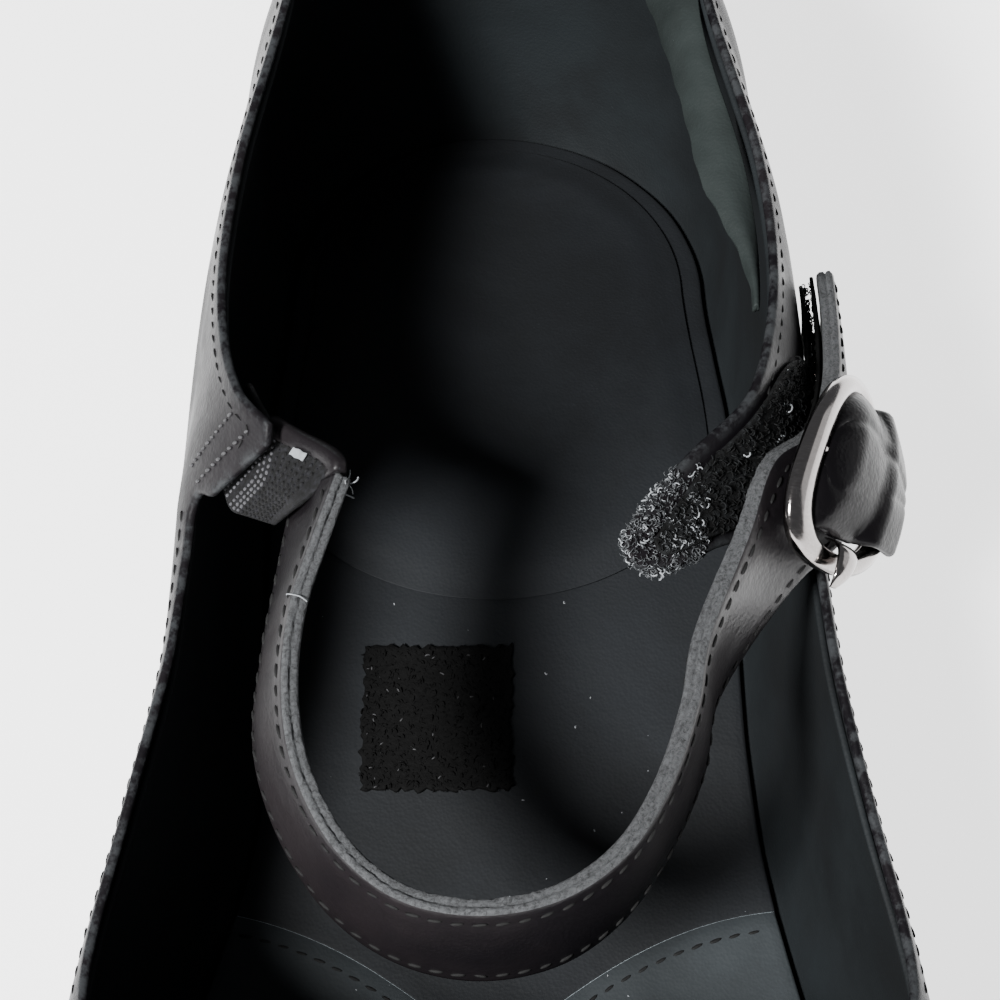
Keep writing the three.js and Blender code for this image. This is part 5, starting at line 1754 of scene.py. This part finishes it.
def gore_ribs():
    """Beaded ribs across the elastic, parallel to the ear's leather edge."""
    face = GORE_GRID + GORE_OUT * (GORE_THICKNESS / 2 - 0.12)
    rows = np.linspace(0, 1, len(face))
    run = running_length(face[:, 12])
    worn, dark = [], []
    for k, at in enumerate(np.arange(run[-1] * 0.36, run[-1] * 0.93, 0.8)):
        share = float(np.interp(at, run, rows)) * (len(face) - 1)
        low = int(share)
        path = face[low] + (face[low + 1] - face[low]) * (share - low)
        (worn if k in (1, 2, 3, 4, 5) else dark).append(path[3:-1])
    for name, paths, look, seed in (("gore_worn_ribs", worn, WORN_RIB, 41), ("gore_ribs", dark, ELASTIC, 42)):
        grown_along(name, paths, STITCHES, look, "elastic", Pitch=0.72, Length=0.55, Width=0.42,
                    Height=0.42, Tilt=0.0, Jitter=0.4, Seed=seed)


def gore_binding():
    """The folded leather strip along the gore's upper edge, which goes on from the topline."""
    normals = grid_normals(GORE_GRID)
    top = GORE_GRID[:, 0]
    down = unit(GORE_GRID[:, 2] - top)
    phi = round_turns(18)[:, None]
    wide = 1.25 * squared(np.cos(phi), 0.7) + 0.9
    thick = 0.95 * squared(np.sin(phi), 0.8) + 0.1
    rows = [top[i] + down[i] * wide + normals[i, 0] * thick for i in range(12, len(top))]
    points, faces = swept(np.array(rows))
    return settle(make_piece("gore_binding", points, faces, [TRIM_LEATHER]), "leather")


def gore_chip():
    """A flake of pale thread or glue stuck on the elastic under its binding."""
    middle = GORE_GRID[27, 5] + GORE_OUT[27, 5] * (GORE_THICKNESS / 2 + 0.3)
    along = unit(GORE_GRID[31, 5] - GORE_GRID[23, 5])
    down = unit(GORE_GRID[27, 8] - GORE_GRID[27, 2])
    a = np.linspace(-1, 1, 9)[:, None]
    b = np.linspace(-1, 1, 5)[None, :]
    uneven = 1 + 0.12 * np.sin(5 * a + 2)
    grid = middle + along * (a * uneven + 0 * b)[..., None] + down * (0.42 * b * uneven)[..., None]
    return thick_sheet("gore_flake", grid, -0.12, 0.12, [LINT], "elastic", [])


def strap_thread():
    """A loose pale thread that lies across the strap's upper edge."""
    u = 0.893
    out = strap_out([u], [0.1])
    clear = STRAP_THICKNESS / 2 + 0.12
    past = np.array([0.004, 0, -0.003, -0.006])
    down = np.array([0.11, 0.03, -0.03, -0.04])
    away = np.array([clear, clear + 0.05, 0.2, 0.5 - clear])
    path = spline(strap_point(u + past, down) + out * away[:, None], 6)
    phi = round_turns(7)[:, None]
    way = unit(np.gradient(path, axis=0))
    side = unit(np.cross(way, [0.3, 0.9, 0.2]))
    other = np.cross(way, side)
    around = side[:, None] * np.cos(phi) + other[:, None] * np.sin(phi)
    points, faces = swept(path[:, None] + 0.065 * around)
    return settle(make_piece("loose_thread", points, faces, [LINT]), "leather")


# The free edge of the loose heel grip, how far the lining's face lies in from the last's skin there, and
# the strip's width
GRIP_EDGE = np.array([(17.6, 102.0, 71.2), (19.6, 96.0, 71.0), (22.0, 84.6, 70.5), (23.6, 73.5, 70.5),
                      (24.6, 63.0, 70.8), (25.6, 52.5, 71.2), (26.3, 43.0, 71.8)])
GRIP_FACE = -2.75
GRIP_WIDTH = 4.5


def heel_grip():
    """The worn strip of the heel grip that has come loose along the outer wall, under the topline."""
    free = spline(GRIP_EDGE, 8)
    s = LENGTH / 2 - free[:, 1]
    free[:, 0] = np.minimum(free[:, 0], side_point(1, s, free[:, 2], GRIP_FACE)[:, 0] - 1.0)
    line = TOP_LINES[1]
    back = line[(line[:, 1] > place(0, 0.61)[1]) & (line[:, 0] < 0.46 * LENGTH)]
    under_topline = np.interp(s, back[:, 0], back[:, 1]) - 1.6
    wall = side_point(1, s - 0.5, np.minimum(free[:, 2] + GRIP_WIDTH, under_topline), GRIP_FACE)
    free[:, 2] = np.minimum(free[:, 2], under_topline - 0.8)
    loose = 1 - 0.9 * smooth(0.6, 1, np.linspace(0, 1, len(free)))[:, None]
    free = wall + (free - wall) * loose
    t = np.linspace(0, 1, 9)
    grid = free[:, None] + (wall - free)[:, None] * t[:, None]
    grid[..., 2] += 0.8 * np.sin(math.pi * t)
    grid[:, 0, 2] += 0.25 * np.sin(np.arange(len(free)) * 1.3)
    return thick_sheet("heel_grip_edge", grid, -0.25, 0.25, [GRIP_LINING], "lining", [])


def patch_hooks(grid):
    """Hooks that stand on the patch, and a few pale threads among them that are painted glints of light."""
    top = grid.copy()
    s = LENGTH / 2 - top[..., 1]
    top[..., 2] = sock_top(s) + GAP + PATCH_THICKNESS - 0.15
    points = top.reshape(-1, 3)
    faces = faces_up(top)
    grown("patch_hooks", points, faces, TUFTS, HOOKS, slot="tape", Density=4.2, Radius=0.23, Bend=3.9,
          Thickness=0.06, Lean=0.5, Uneven=0.4, Seed=51)
    # Pale threads that paint glints of light on the patch; they are not real fibres
    grown("patch_painted_glints", points, faces, TUFTS, PALE_THREAD, slot="tape", Density=0.12, Radius=0.2, Bend=3.4,
          Thickness=0.07, Lean=0.6, Uneven=0.4, Seed=52)


def tape_hooks(grid):
    """Hooks on the underside of the strap's free end."""
    low = -STRAP_THICKNESS / 2 - GAP - TAPE_THICKNESS + 0.4
    face = (grid + grid_normals(grid) * low).reshape(-1, 3)
    faces = turned_over(grid_faces(*grid.shape[:2]))
    grown("tape_hooks", face, faces, TUFTS, HOOKS, slot="tape", Density=1.6, Radius=0.2, Bend=3.9,
          Thickness=0.07, Lean=0.3, Uneven=0.25, Seed=53)


def worn_fuzz(name, points, faces, density, seed):
    """Pulled fibres of the tape."""
    grown(name, points, faces, TUFTS, PILE_FUZZ, slot="tape", Density=density, Radius=0.2, Bend=2.9,
          Thickness=0.045, Lean=1.1, Uneven=0.6, Seed=seed)


def caught_lint(name, points, faces, density, lean, seed):
    """Clumps of pale lint on the tape."""
    grown(name, points, clumped(points, faces), TUFTS, LINT, slot="tape", Density=density, Radius=0.2,
          Bend=2.8, Thickness=0.055, Lean=lean, Uneven=0.7, Seed=seed)


def clumped(points, faces):
    """The faces that fall in uneven clumps."""
    x, y, z = points[[f[0] for f in faces]].T
    wave = np.sin(2.3 * x + 1.1) + np.sin(2.1 * y) + np.sin(2.6 * z + 0.4)
    return [f for f, high in zip(faces, wave) if high > 0.1]


def pile_loops():
    """Loops of the pile tape, worn and full of lint near the ear's front."""
    depth = skin_depth({1: PILE_LINE})
    points, normals, _, faces = cut_skin(depth - 0.25)
    face = points + normals * (GAP + 0.45)
    grown("pile_loops", face, faces, TUFTS, PILE, slot="tape", Density=3.2, Radius=0.3, Bend=3.3,
          Thickness=0.07, Lean=0.7, Uneven=0.4, Seed=61)
    s = LENGTH / 2 - face[:, 1]
    worn = [f for f in faces if min(s[list(f)]) > 103.5 + 1.5 * math.sin(float(face[f[0], 2]) * 1.7)
            and face[f[0], 0] < 23]
    worn_fuzz("pile_fuzz", face, worn, 6.0, 66)
    caught_lint("pile_lint", face, worn, 3.0, 1.2, 62)
    few = [f for f in faces if 78 < min(s[list(f)]) < 107]
    grown("pile_lint_specks", face, few, TUFTS, LINT, slot="tape", Density=0.1, Radius=0.26, Bend=3.0,
          Thickness=0.07, Lean=1.4, Uneven=0.6, Seed=63)


def ear_lint():
    """Fuzz and lint caught on the outer ear's worn front tip, over the pile and round the leather's edge."""
    points, faces, layer, _ = upper_layer(TOP_LINES, 0.5, 0.1, -1.15, 0.95)
    s = LENGTH / 2 - points[:, 1]
    z = points[:, 2]
    tip = (points[:, 0] > 8) & (points[:, 0] < 23) & (s < 123) & (z > 60)
    ragged = 106.5 + 1.5 * np.sin(z * 1.9) + 0.9 * np.sin(points[:, 0] * 3.1)
    near = tip & (s > ragged)
    worn = [f for f, kind in zip(faces, layer) if kind < 2 and near[list(f)].all()]
    worn_fuzz("ear_fuzz", points, worn, 8.0, 64)
    caught_lint("ear_lint", points, worn, 3.4, 1.3, 65)


def strap_fray():
    """Loose threads at the strap's sewn end."""
    along = np.linspace(STRAP_RUN[-1] - 0.8, STRAP_RUN[-1], 4)
    grid = np.array([beside_strap(along, side, -1.6 + 0 * along) for side in np.linspace(-6.2, -1.5, 5)])
    grown("strap_fray", grid.reshape(-1, 3), grid_faces(5, 4), TUFTS, LINT, Density=4.0,
          Radius=1.3, Bend=1.5, Thickness=0.06, Lean=1.3, Uneven=0.6, Seed=71)


def sock_dust():
    """Specks of lint on the socks."""
    grid = foot_grid(SOCK_HEIGHT, SOCK_INSIDE - 3, lambda x: 30 + 0 * x, lambda x: 200 + 0 * x, 40, 20)
    s = LENGTH / 2 - grid[..., 1]
    grid[..., 2] = sock_top(s) + footbed_relief(grid[..., 0], s) - 0.02
    grown("sock_dust", grid.reshape(-1, 3), faces_up(grid), TUFTS, LINT, slot="lining", Density=0.011,
          Radius=0.09, Bend=3.4, Thickness=0.06, Lean=1.5, Uneven=0.6, Seed=81)


def sock_seam():
    """The row beside the forepart sock's cut edge."""
    x = np.linspace(-31, 31, 90)
    s = sock_edge(x) + 2.1
    z = sock_top(s) + pressed(x, s) - 0.02
    path = np.stack([x, LENGTH / 2 - s, z], 1)
    grown_along("sock_seam", [path], STITCHES, THREAD, "lining", Pitch=2.3, Length=1.7, Width=0.5,
                Height=0.3, Tilt=0.1, Jitter=0.08, Seed=91)


# The scene round the shoe

FLOOR_HALF = 2.4
FLOOR_GLOW = 2.1
WORLD_GLOW = 0.17
LAMP_TARGET = Vector((0, 0, 0.04))


def floor():
    """A pale floor with a glow of its own, so that it is near white and the shoe's shadow stays soft."""
    look = Look("pale_floor", 0.9, specular=0.1)
    look.colour(look.blend(look.noise(0.002, 3), grey(0.93), grey(0.95)))
    look.feed(look.shader.inputs["Emission Color"], grey(1.0))
    look.feed(look.shader.inputs["Emission Strength"], FLOOR_GLOW)
    h = FLOOR_HALF
    data = bpy.data.meshes.new("floor")
    data.from_pydata([(-h, -h, 0), (h, -h, 0), (h, h, 0), (-h, h, 0)], [], [(0, 1, 2, 3)])
    data.materials.append(look.material)
    added("floor", data)


def lamp(name, size, power, spot):
    """A square lamp that faces the shoe."""
    data = bpy.data.lights.new(name, "AREA")
    data.size = size
    data.energy = power
    made = added(name, data)
    made.location = spot
    made.rotation_euler = (LAMP_TARGET - Vector(spot)).to_track_quat("-Z", "Y").to_euler()


def studio():
    world = bpy.data.worlds.new("studio")
    world.use_nodes = True
    glow = world.node_tree.nodes["Background"].inputs
    glow["Color"].default_value = grey(0.92, 0.95, 1.0)
    glow["Strength"].default_value = WORLD_GLOW
    bpy.context.scene.world = world
    lamp("key", 0.26, 62, (-0.57, -0.83, 1.02))
    lamp("fill", 0.9, 2.5, (1.15, 0.25, 0.22))


def camera():
    """The photo's view: from above the toe, down the shoe."""
    data = bpy.data.cameras.new("camera")
    data.lens = 93.96
    data.sensor_width = 36
    data.clip_start = 0.01
    made = added("camera", data)
    made.location = Vector((1.15, -159.8, 279.8)) * MM
    made.rotation_euler = (math.radians(40), 0, 0)
    bpy.context.scene.camera = made


upper_leather()
upper_lining()
topline_stitches()
ear_stitches()
outsole()
heel_block()
heel_top_piece()
tread("sole_tread", sole_under, 0.47 * LENGTH, 0.972 * LENGTH, OUTSOLE_EDGE)
tread("heel_tread", lambda s: 0 * s, 5.5, HEEL_BREAST * LENGTH - 2, OUTSOLE_EDGE - HEEL_TAPER)
rear_sock()
forepart_sock()
heel_pad()
sock_seam()
sock_dust()
patch_hooks(sock_patch())
strap()
strap_stitches()
strap_fray()
tape_hooks(hook_tape())
pile_tape()
pile_loops()
ear_lint()
gore()
gore_ribs()
gore_binding()
gore_chip()
strap_thread()
heel_grip()
buckle_ring()
buckle_bar()
buckle_tongue()
buckle_cover()
board_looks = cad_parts["insole_board"].data.materials
board_looks.clear()
board_looks.append(FIBRE)
floor()
studio()
camera()
